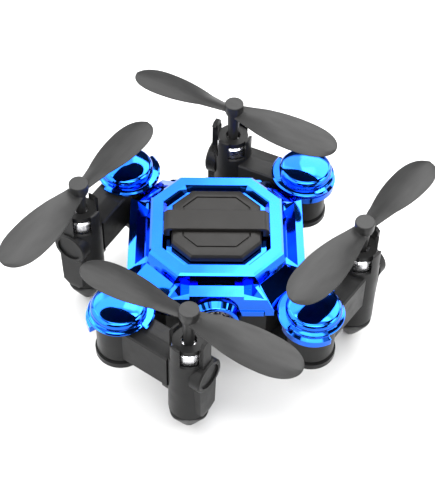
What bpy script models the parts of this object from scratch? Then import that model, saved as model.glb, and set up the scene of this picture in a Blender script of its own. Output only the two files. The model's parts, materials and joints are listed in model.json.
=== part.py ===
"""A palm-sized folding quadcopter: a square body with a pivot housing at each corner, and four arms laid out
like a pinwheel, each with a coreless motor in an upright pod that ends in a landing foot.

Metres, +Z up. The origin is on the ground under the middle of the body, the nose with its camera points
to -Y, and the arms stand part-way open. "front", "right", "back" and "left" name each arm by the side of the
body that its pod stands beside."""

import math

import bmesh
import bpy
from mathutils import Matrix, Vector

MM = 0.001
GAP = 0.3 * MM  # between pieces that touch on the real object
ROUND, SMALL_ROUND = 24, 14  # sides of a large and of a small turned piece

# Heights, above the ground
PLATE_TOP = 29.6 * MM
BODY_BOTTOM = PLATE_TOP - 17.2 * MM
SEAM = PLATE_TOP - 7.6 * MM  # lower edge of the cover
RAIL_TOP = PLATE_TOP - 2.9 * MM
DOME_TOP = PLATE_TOP - 1.7 * MM
DOME_BOTTOM = PLATE_TOP - 5.0 * MM
BELT_TOP = PLATE_TOP - 6.1 * MM

# The cover. A ring's reach is |x| + |y| on its cut corners.
PLATE_HALF, PLATE_REACH, PLATE_EDGE = 14.0 * MM, 21.5 * MM, 0.3 * MM
WAIST, WAIST_HALF, WAIST_REACH = PLATE_TOP - 2.4 * MM, 14.6 * MM, 23.6 * MM  # foot of the steep slope
WING_TIP = 12.0 * MM  # a wing slopes from the waist to the belt, between this far along each of its two sides
RECESS_HALF, RECESS_CORNER, RECESS_DEPTH = 11.4 * MM, 4.6 * MM, 1.5 * MM
BODY_HALF, BELT_HALF, BELT_CORNER = 18.7 * MM, 18.9 * MM, 9.0 * MM
RAIL_HALF_LENGTH, RAIL_WIDTH, RAIL_DROP = 10.4 * MM, 1.6 * MM, 0.45 * MM
POCKET_FLOOR = PLATE_TOP - 4.5 * MM
TAB_HALF, TAB_TOP, TAB_BACK = 5.6 * MM, PLATE_TOP - 1.5 * MM, -15.8 * MM  # the square tab above the camera
WALL = 1.2 * MM

# The badge in the recess
BADGE_HALF, BADGE_CORNER, BADGE_TOP = 9.5 * MM, 4.1 * MM, PLATE_TOP + 0.8 * MM
GROOVE_HALF, GROOVE_CORNER, GROOVE_WIDTH, GROOVE_DEPTH = 7.2 * MM, 3.0 * MM, 0.3 * MM, 0.3 * MM
BAND_HALF_WIDTH, BAND_REACH, BAND_TOP = 2.75 * MM, 11.3 * MM, BADGE_TOP + 0.75 * MM

# The lower shell and what it holds
SHELL_HALF, SHELL_CORNER = 18.0 * MM, 7.5 * MM
SCREW_PLACE, POST_RADIUS = 12.2 * MM, 2.0 * MM
SCREW_RADIUS, SCREW_HEAD_RADIUS = 0.8 * MM, 1.5 * MM
BOARD_BOTTOM, BOARD_THICKNESS = PLATE_TOP - 7.2 * MM, 0.8 * MM
BATTERY_BOTTOM, BATTERY_HEIGHT, BATTERY_HALF = PLATE_TOP - 13.9 * MM, 5.6 * MM, 9.9 * MM
SOCKET_HALF, SOCKET_BOTTOM, SOCKET_TOP = 3.75 * MM, PLATE_TOP - 11.9 * MM, PLATE_TOP - 9.1 * MM
BUTTON_RADIUS, BUTTON_PROUD = 2.4 * MM, 0.8 * MM

# Pivot housings
PIVOT = 20.0 * MM  # each hinge axis stands at (+-PIVOT, +-PIVOT)
DOME_RADIUS, DOME_FLAT = 5.9 * MM, 4.7 * MM
BRIM_RADIUS, FLARE_RADIUS = 6.6 * MM, 7.5 * MM  # round the foot of a dome, and on the body's side of it
BELT_RADIUS = 6.9 * MM
HOUSING_INNER = 5.3 * MM
HOUSING_FROM, HOUSING_TO = -10, 165  # degrees round the pivot, from the diagonal that points at the body
FOLDED = 73  # degrees from a straight-out arm to a folded one
KNUCKLE_RADIUS, EAR_RADIUS = 5.0 * MM, 5.4 * MM
KNUCKLE_TOP = PLATE_TOP - 5.3 * MM
KNUCKLE_BOTTOM = BODY_BOTTOM + 1.6 * MM
PIN_RADIUS, PIN_HEAD_RADIUS = 1.15 * MM, 2.2 * MM

# Arms
BAR_WIDTH, BAR_CROWN = 7.2 * MM, 0.5 * MM
BAR_TOP, BAR_BOTTOM = PLATE_TOP - 5.9 * MM, PLATE_TOP - 15.0 * MM
ARM_LENGTH = 17.9 * MM  # hinge axis to motor axis

# Motor pods
POD_RADIUS, POD_WALL = 4.35 * MM, 0.65 * MM
POD_TOP, POD_BOTTOM = PLATE_TOP + 0.3 * MM, PLATE_TOP - 22.3 * MM
WINDOW_SILL, WINDOW_WIDTH = PLATE_TOP - 4.8 * MM, 3.9 * MM
POD_TURN = 38  # degrees from the arm to the pod's first window
UPSTAND_TOP = PLATE_TOP + 2.0 * MM
LUG_RADIUS, LUG_HEIGHT, LUG_PROUD = 3.9 * MM, PLATE_TOP - 8.8 * MM, 0.9 * MM
PANEL_HALF, PANEL_BOTTOM = 2.9 * MM, PLATE_TOP - 24.6 * MM
MOTOR_RADIUS, MOTOR_LENGTH = 3.5 * MM, 19.0 * MM
MOTOR_TOP = PLATE_TOP - 2.0 * MM
SHAFT_RADIUS = 0.5 * MM
# The foot below the pod, down to its flat tip: (half width, half depth, height above the ground)
FOOT_SHAPE = (
    (4.0 * MM, 3.8 * MM, 5.9 * MM),
    (2.6 * MM, 2.0 * MM, 2.7 * MM),
    (1.5 * MM, 1.2 * MM, 0.9 * MM),
    (0.8 * MM, 0.7 * MM, 0.0),
)

# Propellers
PROP_RADIUS, CHORD, ROOT_CHORD = 25.1 * MM, 8.7 * MM, 3.6 * MM
BLADE_THICKNESS, BLADE_PITCH = 0.5 * MM, 17.0 * MM  # pitch: how far the blade would screw along in one turn
CAP_RADIUS, CAP_HEIGHT, NECK_RADIUS = 2.1 * MM, 2.2 * MM, 1.85 * MM
BLADE_BELOW_CAP = 2.3 * MM
STEM_BOTTOM = PLATE_TOP + 0.4 * MM
HIGH_CAP, LOW_CAP = PLATE_TOP + 9.15 * MM, PLATE_TOP + 7.35 * MM

# Camera
CAMERA_RADIUS, CAMERA_BORE = 5.1 * MM, 4.1 * MM
CAMERA_HEIGHT, CAMERA_NOSE, CAMERA_REAR = PLATE_TOP - 8.2 * MM, -20.5 * MM, -16.6 * MM

# name: (side of the pivot in x, in y, direction of a straight-out arm, arm angle from it,
# propeller line from +X, cap height, which way it turns seen from above). The angles are in degrees.
ARMS = {
    "right": (1, -1, 0, 53.8, 51.4, LOW_CAP, -1),
    "back": (1, 1, 90, 64.5, -28.8, HIGH_CAP, 1),
    "left": (-1, 1, 180, 59.1, 56.5, LOW_CAP, -1),
    "front": (-1, -1, 270, 54.1, -31.0, HIGH_CAP, 1),
}


def clear_scene():
    for obj in list(bpy.data.objects):
        bpy.data.objects.remove(obj, do_unlink=True)


def new_collection(name):
    collection = bpy.data.collections.new(name)
    bpy.context.scene.collection.children.link(collection)
    return collection


def new_material(name, colour, roughness, metallic=0.0):
    material = bpy.data.materials.new(name)
    material.use_nodes = True
    shader = material.node_tree.nodes["Principled BSDF"]
    shader.inputs["Base Color"].default_value = (*colour, 1)
    shader.inputs["Roughness"].default_value = roughness
    shader.inputs["Metallic"].default_value = metallic
    return material


# Shapes. Each function returns a bmesh.


def octagon(half, corner, z, centre=(0, 0)):
    """A square of that half width with its corners cut off, as a ring of points at height z."""
    short = half - corner
    signs = ((1, -1), (1, 1), (-1, 1), (-1, -1))
    ring = []
    for x, y in signs:
        ends = [(half * x, short * y), (short * x, half * y)]
        ring += ends if x * y > 0 else ends[::-1]
    return [Vector((centre[0] + x, centre[1] + y, z)) for x, y in ring]


def reach_ring(half, reach, z):
    """An octagon given by the |x| + |y| of its cut corners."""
    return octagon(half, 2 * half - reach, z)


def loft(rings):
    """A closed solid through unlike rings of equally many points."""
    bm = bmesh.new()
    made = [[bm.verts.new(point) for point in ring] for ring in rings]
    count = len(rings[0])
    for lower, upper in zip(made, made[1:]):
        for i in range(count):
            j = (i + 1) % count
            bm.faces.new((lower[i], lower[j], upper[j], upper[i]))
    bm.faces.new(made[0][::-1])
    bm.faces.new(made[-1])
    bmesh.ops.recalc_face_normals(bm, faces=bm.faces)
    return bm


def extruded(outline, direction):
    """An outline of points carried along a direction."""
    bm = bmesh.new()
    face = bm.faces.new([bm.verts.new(point) for point in outline])
    made = bmesh.ops.extrude_face_region(bm, geom=[face])["geom"]
    bmesh.ops.translate(bm, vec=direction, verts=[v for v in made if isinstance(v, bmesh.types.BMVert)])
    bmesh.ops.recalc_face_normals(bm, faces=bm.faces)
    return bm


def prism(outline, bottom, top):
    """An outline of (x, y) pairs between two heights."""
    return extruded([Vector((x, y, bottom)) for x, y in outline], (0, 0, top - bottom))


def hull(points):
    """The convex solid round the points."""
    bm = bmesh.new()
    for point in points:
        bm.verts.new(point)
    made = bmesh.ops.convex_hull(bm, input=bm.verts)
    spare = {v for v in made["geom_interior"] + made["geom_unused"] if isinstance(v, bmesh.types.BMVert)}
    bmesh.ops.delete(bm, geom=list(spare), context="VERTS")
    bmesh.ops.dissolve_limit(bm, angle_limit=math.radians(1), verts=bm.verts, edges=bm.edges)
    bmesh.ops.recalc_face_normals(bm, faces=bm.faces)
    return bm


def swept(section, start, end, segments=12):
    """A (radius, z) section spun round the Z axis from one angle to another, in degrees."""
    bm = bmesh.new()
    face = bm.faces.new([bm.verts.new((radius, 0, z)) for radius, z in section])
    turn = Matrix.Rotation(math.radians(start), 3, "Z")
    bmesh.ops.rotate(bm, matrix=turn, verts=bm.verts)
    cap = bmesh.ops.duplicate(bm, geom=[face])["geom"]
    outline = [e for e in face.edges]
    bmesh.ops.spin(
        bm, geom=outline, cent=(0, 0, 0), axis=(0, 0, 1), angle=math.radians(end - start), steps=segments
    )
    far_end = [f for f in cap if isinstance(f, bmesh.types.BMFace)]
    across = Matrix.Rotation(math.radians(end - start), 3, "Z")
    bmesh.ops.rotate(bm, matrix=across, verts=far_end[0].verts[:])
    bmesh.ops.remove_doubles(bm, verts=bm.verts, dist=1e-7)
    bmesh.ops.recalc_face_normals(bm, faces=bm.faces)
    return bm


def turned(profile, segments=ROUND, centre=(0, 0)):
    """A solid turned about a vertical axis from (radius, z) pairs, lowest first."""
    bm = bmesh.new()
    verts = [bm.verts.new((radius, 0, z)) for radius, z in profile]
    edges = [bm.edges.new(pair) for pair in zip(verts, verts[1:])]
    whole = {"cent": (0, 0, 0), "axis": (0, 0, 1), "angle": 2 * math.pi, "steps": segments}
    bmesh.ops.spin(bm, geom=verts + edges, use_merge=True, **whole)
    bmesh.ops.remove_doubles(bm, verts=bm.verts, dist=1e-7)
    bmesh.ops.holes_fill(bm, edges=bm.edges)
    bmesh.ops.recalc_face_normals(bm, faces=bm.faces)
    bmesh.ops.translate(bm, vec=(*centre, 0), verts=bm.verts)
    return bm


def cylinder(radius, bottom, top, segments=ROUND, centre=(0, 0)):
    bm = bmesh.new()
    bmesh.ops.create_cone(
        bm, cap_ends=True, segments=segments, radius1=radius, radius2=radius, depth=top - bottom
    )
    bmesh.ops.translate(bm, vec=(*centre, (bottom + top) / 2), verts=bm.verts)
    return bm


def along_y(bm, height=0.0):
    """A shape turned about Z laid down so that its top points to -Y."""
    bmesh.ops.rotate(bm, matrix=Matrix.Rotation(math.radians(90), 3, "X"), verts=bm.verts)
    bmesh.ops.translate(bm, vec=(0, 0, height), verts=bm.verts)
    return bm


def along_x(bm, offset):
    """A shape turned about Z laid down so that its top points to +X, then shifted."""
    bmesh.ops.rotate(bm, matrix=Matrix.Rotation(math.radians(90), 3, "Y"), verts=bm.verts)
    bmesh.ops.translate(bm, vec=offset, verts=bm.verts)
    return bm


def barrel(radius, rear, front, segments=28):
    """A cylinder along Y at the camera's height, between two places on Y."""
    return along_y(cylinder(radius, -rear, -front, segments), CAMERA_HEIGHT)


def box(low, high, bevel=0.0):
    bm = bmesh.new()
    bmesh.ops.create_cube(bm, size=1)
    size = [b - a for a, b in zip(low, high)]
    bmesh.ops.scale(bm, vec=size, verts=bm.verts)
    bmesh.ops.translate(bm, vec=[(a + b) / 2 for a, b in zip(low, high)], verts=bm.verts)
    if bevel:
        bmesh.ops.bevel(bm, geom=bm.edges[:], offset=bevel, segments=1, affect="EDGES")
    return bm


def moved(bm, angle=0.0, offset=(0, 0, 0)):
    """The shape turned about Z by an angle in degrees and then shifted."""
    bmesh.ops.rotate(bm, matrix=Matrix.Rotation(math.radians(angle), 3, "Z"), verts=bm.verts)
    bmesh.ops.translate(bm, vec=offset, verts=bm.verts)
    return bm


# Objects


def add_object(name, bm, collection, material=None):
    mesh = bpy.data.meshes.new(name)
    bm.to_mesh(mesh)
    bm.free()
    obj = bpy.data.objects.new(name, mesh)
    collection.objects.link(obj)
    if material:
        mesh.materials.append(material)
    return obj


def add_helper(name, bm):
    helper = add_object(name, bm, HELPERS)
    helper.hide_render = True
    helper.display_type = "WIRE"
    return helper


def boolean(obj, operation, shapes):
    """Adds one Boolean modifier for each shape, in order."""
    for number, bm in enumerate(shapes):
        modifier = obj.modifiers.new(f"{operation.lower()}_{number}", "BOOLEAN")
        modifier.operation = operation
        modifier.solver = "EXACT"
        modifier.object = add_helper(f"{obj.name}_{operation.lower()}_{number}", bm)


def shade(mesh, angle=35):
    mesh.shade_smooth()
    mesh.set_sharp_from_angle(angle=math.radians(angle))


def finished_mesh(obj):
    """The object's mesh with its modifiers applied, for several objects to share. The object is removed."""
    graph = bpy.context.evaluated_depsgraph_get()
    mesh = bpy.data.meshes.new_from_object(obj.evaluated_get(graph))
    mesh.name = obj.name
    bpy.data.objects.remove(obj, do_unlink=True)
    shade(mesh)
    return mesh


def place(name, mesh, parent):
    obj = bpy.data.objects.new(name, mesh)
    MODEL.objects.link(obj)
    obj.parent = parent
    return obj


def add_empty(name, location, angle, parent=None):
    empty = bpy.data.objects.new(name, None)
    empty.empty_display_size = 5 * MM
    MODEL.objects.link(empty)
    empty.location = location
    empty.rotation_euler.z = math.radians(angle)
    empty.parent = parent
    return empty


# The body


def at_corner(bm, k):
    """A shape made round the Z axis, with the body on its +X side, moved to corner k. Corner 0 is +X -Y."""
    turn = 135 + 90 * k
    away = math.radians(turn + 180)
    distance = PIVOT * math.sqrt(2)
    return moved(bm, turn, (distance * math.cos(away), distance * math.sin(away), 0))


def dome():
    """The top of a pivot housing: flat, with a round shoulder, and a brim round its foot."""
    shoulder, fall, foot = DOME_RADIUS - DOME_FLAT, 1.7 * MM, DOME_TOP - 2.4 * MM
    profile = [
        (BRIM_RADIUS - 0.15 * MM, DOME_BOTTOM),
        (BRIM_RADIUS, DOME_BOTTOM + 0.2 * MM),
        (BRIM_RADIUS - 0.2 * MM, DOME_BOTTOM + 0.5 * MM),
        (DOME_RADIUS - 0.15 * MM, foot - 0.15 * MM),
        (DOME_RADIUS, foot + 0.25 * MM),
    ]
    for angle in (15, 40, 65, 90):
        a = math.radians(angle)
        profile.append((DOME_FLAT + shoulder * math.cos(a), DOME_TOP - fall * (1 - math.sin(a))))
    return turned(profile)


def housing_shapes(k):
    """What joins the cover at one corner: the collar round the knuckle, the dome, and the flare beside it."""
    inside_brim = BRIM_RADIUS - 0.45 * MM
    collar = [
        (HOUSING_INNER, SEAM),
        (BELT_RADIUS, SEAM),
        (BELT_RADIUS, BELT_TOP),
        (inside_brim, BELT_TOP + 0.3 * MM),
        (inside_brim, DOME_BOTTOM + 0.3 * MM),
        (HOUSING_INNER, DOME_BOTTOM + 0.3 * MM),
    ]
    flare = [
        (DOME_RADIUS - 0.9 * MM, DOME_BOTTOM + 0.05 * MM),
        (FLARE_RADIUS, DOME_BOTTOM + 0.05 * MM),
        (FLARE_RADIUS, DOME_BOTTOM + 0.45 * MM),
        (FLARE_RADIUS - 0.35 * MM, DOME_BOTTOM + 0.7 * MM),
        (DOME_RADIUS - 0.9 * MM, DOME_BOTTOM + 0.9 * MM),
    ]
    shapes = [swept(collar, HOUSING_FROM, HOUSING_TO), dome(), swept(flare, -85, 85, 10)]
    return [at_corner(bm, k) for bm in shapes]


def wing(k):
    """The flat slope from one cut corner of the waist down to the belt, beside a pivot housing."""
    waist_end = WAIST_REACH - WAIST_HALF
    foot, foot_end = WAIST_HALF - 0.4 * MM, 7.6 * MM
    toe, toe_end = BODY_HALF - 0.1 * MM, 9.5 * MM
    points = []
    for x, y in ((1, 0), (0, 1)):
        for far, near, z in (
            (WAIST_HALF, waist_end, WAIST),
            (BODY_HALF, WING_TIP, BELT_TOP + 0.05 * MM),
            (BODY_HALF, WING_TIP, SEAM),
            (foot, foot_end, POCKET_FLOOR - 0.3 * MM),
            (foot, foot_end, SEAM),
            (toe, toe_end, BELT_TOP - 0.2 * MM),
            (toe, toe_end, SEAM),
        ):
            points.append((far if x else near, -far if y else -near, z))
    return moved(hull(points), 90 * k)


def fold_clearance(k):
    """The space beside a wing that a folded arm's bar needs."""
    half = BAR_WIDTH / 2 + 0.35 * MM
    bm = box((0, -half, SEAM - 0.5 * MM), (14 * MM, half, DOME_BOTTOM))
    return at_corner(moved(bm, FOLDED - 135), k)


def rail(k):
    """The rail along one side, longest at its foot. Its flat top slopes outwards a little. Side 0 is +X."""
    inner, knee, crest = PLATE_HALF - 2 * MM, PLATE_HALF + 2.1 * MM, BODY_HALF - RAIL_WIDTH
    slant = 1.6 * MM
    knee_half = RAIL_HALF_LENGTH - slant
    crest_half = knee_half + slant * (crest - knee) / (BODY_HALF - knee)
    points = []
    for side in (-1, 1):
        points += [(x, side * (RAIL_HALF_LENGTH - 3 * MM), z) for x in (inner,) for z in (SEAM, RAIL_TOP)]
        points += [(knee, side * knee_half, z) for z in (SEAM, RAIL_TOP)]
        points.append((crest, side * crest_half, RAIL_TOP))
        points.append((BODY_HALF, side * RAIL_HALF_LENGTH, RAIL_TOP - RAIL_DROP))
        points += [(BODY_HALF, side * WING_TIP, z) for z in (SEAM, BELT_TOP)]
    return moved(hull(points), 90 * k)


def scoop(k):
    """The hollow between the plate and a rail: a steep inner wall, and a wedge that rises to the rail."""
    low, above = PLATE_TOP - 4.4 * MM, PLATE_TOP + 2 * MM
    valley, crest, wall = WAIST_HALF + 0.6 * MM, BODY_HALF - RAIL_WIDTH, PLATE_HALF + 0.1 * MM
    points = []
    for side in (-1, 1):
        points += [(valley, side * 6.2 * MM, low), (valley - 0.15 * MM, side * 6.2 * MM, low + 0.1 * MM)]
        points += [(crest, side * 9.0 * MM, z) for z in (RAIL_TOP, above)]
        points += [(wall, side * 7.4 * MM, z) for z in (PLATE_TOP - 0.4 * MM, above)]
    return moved(hull(points), 90 * k)


def nose_pocket():
    """The hollow in front of the plate. The rail in front of it is thickest beside the tab."""
    back, front, tip = -(PLATE_HALF + 0.3 * MM), -(BODY_HALF - 1.5 * MM), -(BODY_HALF - 0.15 * MM)
    half = [(7.4 * MM, back), (9.9 * MM, tip), (TAB_HALF - 0.1 * MM, front)]
    outline = half + [(-x, y) for x, y in reversed(half)]
    return prism(outline, POCKET_FLOOR, PLATE_TOP - 0.25 * MM)


def nose_tab():
    """The square tab above the camera, on a post that rises from the pocket."""
    low = (-TAB_HALF, -BODY_HALF, POCKET_FLOOR - 0.3 * MM)
    return box(low, (TAB_HALF, TAB_BACK, TAB_TOP), 0.15 * MM)


def screw_places():
    return [(x * SCREW_PLACE, y * SCREW_PLACE) for x in (-1, 1) for y in (-1, 1)]


def cover_boss(place):
    return cylinder(POST_RADIUS, SEAM, PLATE_TOP - 2.6 * MM, SMALL_ROUND, place)


def top_cover(material):
    outside = loft(
        [
            reach_ring(WAIST_HALF + 1.3 * MM, WAIST_REACH + 1.5 * MM, SEAM),
            reach_ring(WAIST_HALF, WAIST_REACH, WAIST),
            reach_ring(PLATE_HALF + 0.1 * MM, PLATE_REACH + 0.5 * MM, PLATE_TOP - 0.4 * MM),
            reach_ring(PLATE_HALF - PLATE_EDGE, PLATE_REACH - PLATE_EDGE, PLATE_TOP),
        ]
    )
    cover = add_object("top_cover", outside, MODEL, material)
    belt = loft([octagon(BELT_HALF, BELT_CORNER, z) for z in (SEAM, BELT_TOP)])
    boolean(cover, "UNION", [belt] + [rail(k) for k in (0, 2, 3)])
    boolean(cover, "DIFFERENCE", [nose_pocket()] + [scoop(k) for k in (0, 2)])
    for k in range(4):
        boolean(cover, "UNION", [wing(k)])
        boolean(cover, "DIFFERENCE", [fold_clearance(k)])
        boolean(cover, "UNION", housing_shapes(k))
    recess = loft(
        [
            octagon(RECESS_HALF - 0.9 * MM, RECESS_CORNER - 0.35 * MM, PLATE_TOP - RECESS_DEPTH),
            octagon(RECESS_HALF, RECESS_CORNER, PLATE_TOP),
            octagon(RECESS_HALF, RECESS_CORNER, PLATE_TOP + 1 * MM),
        ]
    )
    inside = loft(
        [
            reach_ring(BODY_HALF - 2 * WALL, WAIST_REACH, SEAM - 1 * MM),
            reach_ring(BODY_HALF - 2 * WALL, WAIST_REACH, PLATE_TOP - 6.6 * MM),
            reach_ring(PLATE_HALF - 1.4 * MM, PLATE_REACH - 2 * MM, PLATE_TOP - RECESS_DEPTH - WALL),
        ]
    )
    boolean(cover, "DIFFERENCE", [recess, inside])
    boolean(cover, "UNION", [nose_tab()] + [cover_boss(place) for place in screw_places()])
    notch_half, seat_half = BAND_REACH + GAP, BAND_HALF_WIDTH + GAP
    notch_low = (-notch_half, -seat_half, PLATE_TOP - RECESS_DEPTH + GAP)
    holes = [box(notch_low, (notch_half, seat_half, PLATE_TOP + 1 * MM))]
    holes.append(barrel(CAMERA_RADIUS + GAP, -10 * MM, -25 * MM))
    for k in range(4):
        pin_hole = cylinder(PIN_RADIUS + GAP, SEAM - 1 * MM, DOME_TOP - 1.2 * MM, SMALL_ROUND)
        holes.append(at_corner(pin_hole, k))
    for place in screw_places():
        holes.append(cylinder(SCREW_RADIUS + GAP, SEAM - 2 * MM, SEAM + 3.4 * MM, SMALL_ROUND, place))
    boolean(cover, "DIFFERENCE", holes)
    shade(cover.data, 25)


def lower_shell(material):
    """The tub under the cover, with the ears that hold the arms from below."""
    top, floor, ear_top = SEAM - GAP, BODY_BOTTOM + WALL, BODY_BOTTOM + 1.3 * MM
    below = BODY_BOTTOM - 1 * MM
    outside = loft(
        [
            octagon(SHELL_HALF - 1.4 * MM, SHELL_CORNER, BODY_BOTTOM),
            octagon(SHELL_HALF, SHELL_CORNER, BODY_BOTTOM + 1.6 * MM),
            octagon(SHELL_HALF, SHELL_CORNER, top),
        ]
    )
    inner, inner_corner = SHELL_HALF - WALL, SHELL_CORNER - 0.6 * MM
    inside = loft(
        [
            octagon(inner - 1.2 * MM, inner_corner, floor),
            octagon(inner, inner_corner, floor + 1.4 * MM),
            octagon(inner, inner_corner, top + 1 * MM),
        ]
    )
    shell = add_object("lower_shell", outside, MODEL, material)
    boolean(shell, "DIFFERENCE", [inside])
    joined, holes = [], []
    for k in range(4):
        joined.append(at_corner(cylinder(EAR_RADIUS, BODY_BOTTOM, ear_top), k))
        joined.append(at_corner(box((0, -4 * MM, BODY_BOTTOM), (13 * MM, 4 * MM, ear_top)), k))
        holes.append(at_corner(cylinder(PIN_RADIUS + GAP, below, SEAM, SMALL_ROUND), k))
        holes.append(at_corner(cylinder(PIN_HEAD_RADIUS + GAP, below, BODY_BOTTOM + 0.6 * MM), k))
    for place in screw_places():
        joined.append(cylinder(POST_RADIUS, floor - 0.5 * MM, top, SMALL_ROUND, place))
        holes.append(cylinder(SCREW_RADIUS + GAP, below, SEAM + 1 * MM, SMALL_ROUND, place))
        holes.append(cylinder(SCREW_HEAD_RADIUS + GAP, below, BODY_BOTTOM + 1.4 * MM, SMALL_ROUND, place))
    rib_bottom, shelf_half = floor - 0.5 * MM, 8 * MM
    for front in (-11.0 * MM, 12.3 * MM):  # shelves under the board
        low = (-shelf_half, front, rib_bottom)
        joined.append(box(low, (shelf_half, front + WALL, BOARD_BOTTOM - GAP)))
    for x in (-shelf_half, shelf_half):  # cradles under the battery
        low = (x - WALL / 2, -8 * MM, rib_bottom)
        joined.append(box(low, (x + WALL / 2, 10 * MM, BATTERY_BOTTOM - GAP)))
    boolean(shell, "UNION", joined)
    around = SOCKET_HALF + GAP
    holes.append(box((-around, 10 * MM, SOCKET_BOTTOM - GAP), (around, 25 * MM, SOCKET_TOP + GAP)))
    holes.append(barrel(CAMERA_RADIUS + GAP, -12 * MM, -25 * MM))
    holes.append(cylinder(BUTTON_RADIUS + GAP, below, floor + 1 * MM))
    boolean(shell, "DIFFERENCE", holes)
    shade(shell.data, 25)


def badge_plate(material):
    """The eight-sided plate in the middle of the cover, with a groove round it and a seat for the band."""
    outside = loft(
        [
            octagon(BADGE_HALF, BADGE_CORNER, PLATE_TOP - RECESS_DEPTH + GAP),
            octagon(BADGE_HALF, BADGE_CORNER, BADGE_TOP - 0.9 * MM),
            octagon(BADGE_HALF - 0.35 * MM, BADGE_CORNER - 0.1 * MM, BADGE_TOP - 0.35 * MM),
            octagon(BADGE_HALF - 1.6 * MM, BADGE_CORNER - 0.6 * MM, BADGE_TOP),
        ]
    )
    plate = add_object("badge_plate", outside, MODEL, material)
    above = BADGE_TOP + 2 * MM
    around = loft([octagon(GROOVE_HALF, GROOVE_CORNER, z) for z in (BADGE_TOP - GROOVE_DEPTH, above)])
    island_half, island_corner = GROOVE_HALF - GROOVE_WIDTH, GROOVE_CORNER - 0.6 * GROOVE_WIDTH
    island = loft([octagon(island_half, island_corner, z) for z in (PLATE_TOP, above + 1 * MM)])
    groove = add_helper("groove", around)
    boolean(groove, "DIFFERENCE", [island])
    modifier = plate.modifiers.new("groove", "BOOLEAN")
    modifier.object = groove
    seat_half = BAND_HALF_WIDTH + GAP
    seat = box((-15 * MM, -seat_half, BADGE_TOP - 0.35 * MM), (15 * MM, seat_half, above))
    boolean(plate, "DIFFERENCE", [seat])
    shade(plate.data, 20)


def badge_band(material):
    """The band that crosses the plate, turned down at both ends."""
    under, foot, inner = BADGE_TOP - 0.05 * MM, PLATE_TOP - 0.9 * MM, BADGE_HALF + GAP
    half = [
        (inner, under),
        (inner, foot),
        (BAND_REACH - 0.4 * MM, foot),
        (BAND_REACH, PLATE_TOP + 0.1 * MM),
        (BAND_REACH - 0.4 * MM, BAND_TOP - 0.8 * MM),
        (BAND_REACH - 1.4 * MM, BAND_TOP),
    ]
    outline = [Vector((x, -BAND_HALF_WIDTH, z)) for x, z in half + [(-x, z) for x, z in reversed(half)]]
    add_object("badge_band", extruded(outline, (0, 2 * BAND_HALF_WIDTH, 0)), MODEL, material)


def camera(ring_material, black_material, board_material):
    """The ring in the nose, the lens inside it, and the sensor behind."""
    throat = CAMERA_BORE - 0.5 * MM
    ring = add_object("camera_ring", barrel(CAMERA_RADIUS, CAMERA_REAR, CAMERA_NOSE), MODEL, ring_material)
    bore = barrel(throat, CAMERA_REAR + 1 * MM, CAMERA_NOSE)
    mouth = turned([(throat, -CAMERA_NOSE - 1.4 * MM), (CAMERA_BORE, 0.01 * MM - CAMERA_NOSE)], 28)
    boolean(ring, "DIFFERENCE", [bore, along_y(mouth, CAMERA_HEIGHT)])
    shade(ring.data)
    lens = add_object("camera_lens", lens_shape(throat - GAP), MODEL, black_material)
    shade(lens.data)
    half = 3.6 * MM
    low, high = (-half, CAMERA_REAR + GAP, CAMERA_HEIGHT - half), (half, -12.7 * MM, CAMERA_HEIGHT + 0.9 * MM)
    add_object("camera_module", box(low, high, 0.3 * MM), MODEL, board_material)


def lens_shape(radius):
    """A domed lens in a stepped black holder, along Y with its dome to the front."""
    front = -(CAMERA_NOSE + 0.9 * MM)
    profile = [(radius, -CAMERA_REAR), (radius, front - 0.6 * MM), (radius * 0.62, front - 0.9 * MM)]
    for angle in (20, 45, 70, 85):
        a = math.radians(angle)
        profile.append((radius * 0.55 * math.cos(a), front - 0.9 * MM + 0.7 * MM * math.sin(a)))
    return along_y(turned(profile), CAMERA_HEIGHT)


def electronics(board_material, battery_material, steel):
    """The circuit board, the battery under it, and the charging socket in the tail."""
    board_top, shift = BOARD_BOTTOM + BOARD_THICKNESS, (0, 1.2 * MM)
    board = loft([octagon(13.4 * MM, 6.4 * MM, z, shift) for z in (BOARD_BOTTOM, board_top)])
    board = add_object("circuit_board", board, MODEL, board_material)
    notches, below, above = [], BOARD_BOTTOM - 1 * MM, board_top + 1 * MM
    for place in screw_places():
        notches.append(cylinder(POST_RADIUS + GAP, below, above, SMALL_ROUND, place))
    boolean(board, "DIFFERENCE", notches)
    low = (-BATTERY_HALF, -8.5 * MM, BATTERY_BOTTOM)
    battery = box(low, (BATTERY_HALF, 11.5 * MM, BATTERY_BOTTOM + BATTERY_HEIGHT), 0.6 * MM)
    add_object("battery", battery, MODEL, battery_material)
    charging_socket(steel)


def charging_socket(steel):
    """A flat metal mouth with a tongue inside."""
    mouth, rear, thickness = SHELL_HALF - 0.2 * MM, SHELL_HALF - 4.2 * MM, 0.35 * MM
    outside = box((-SOCKET_HALF, rear, SOCKET_BOTTOM), (SOCKET_HALF, mouth, SOCKET_TOP), 0.3 * MM)
    socket = add_object("charging_socket", outside, MODEL, steel)
    inner = SOCKET_HALF - thickness
    low, high = SOCKET_BOTTOM + thickness, SOCKET_TOP - thickness
    boolean(socket, "DIFFERENCE", [box((-inner, rear + 0.8 * MM, low), (inner, mouth + 1 * MM, high))])
    half, middle, thin = inner / 2, (low + high) / 2, 0.25 * MM
    tongue = box((-half, rear + 0.4 * MM, middle - thin), (half, mouth - 0.7 * MM, middle + thin))
    boolean(socket, "UNION", [tongue])


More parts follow.
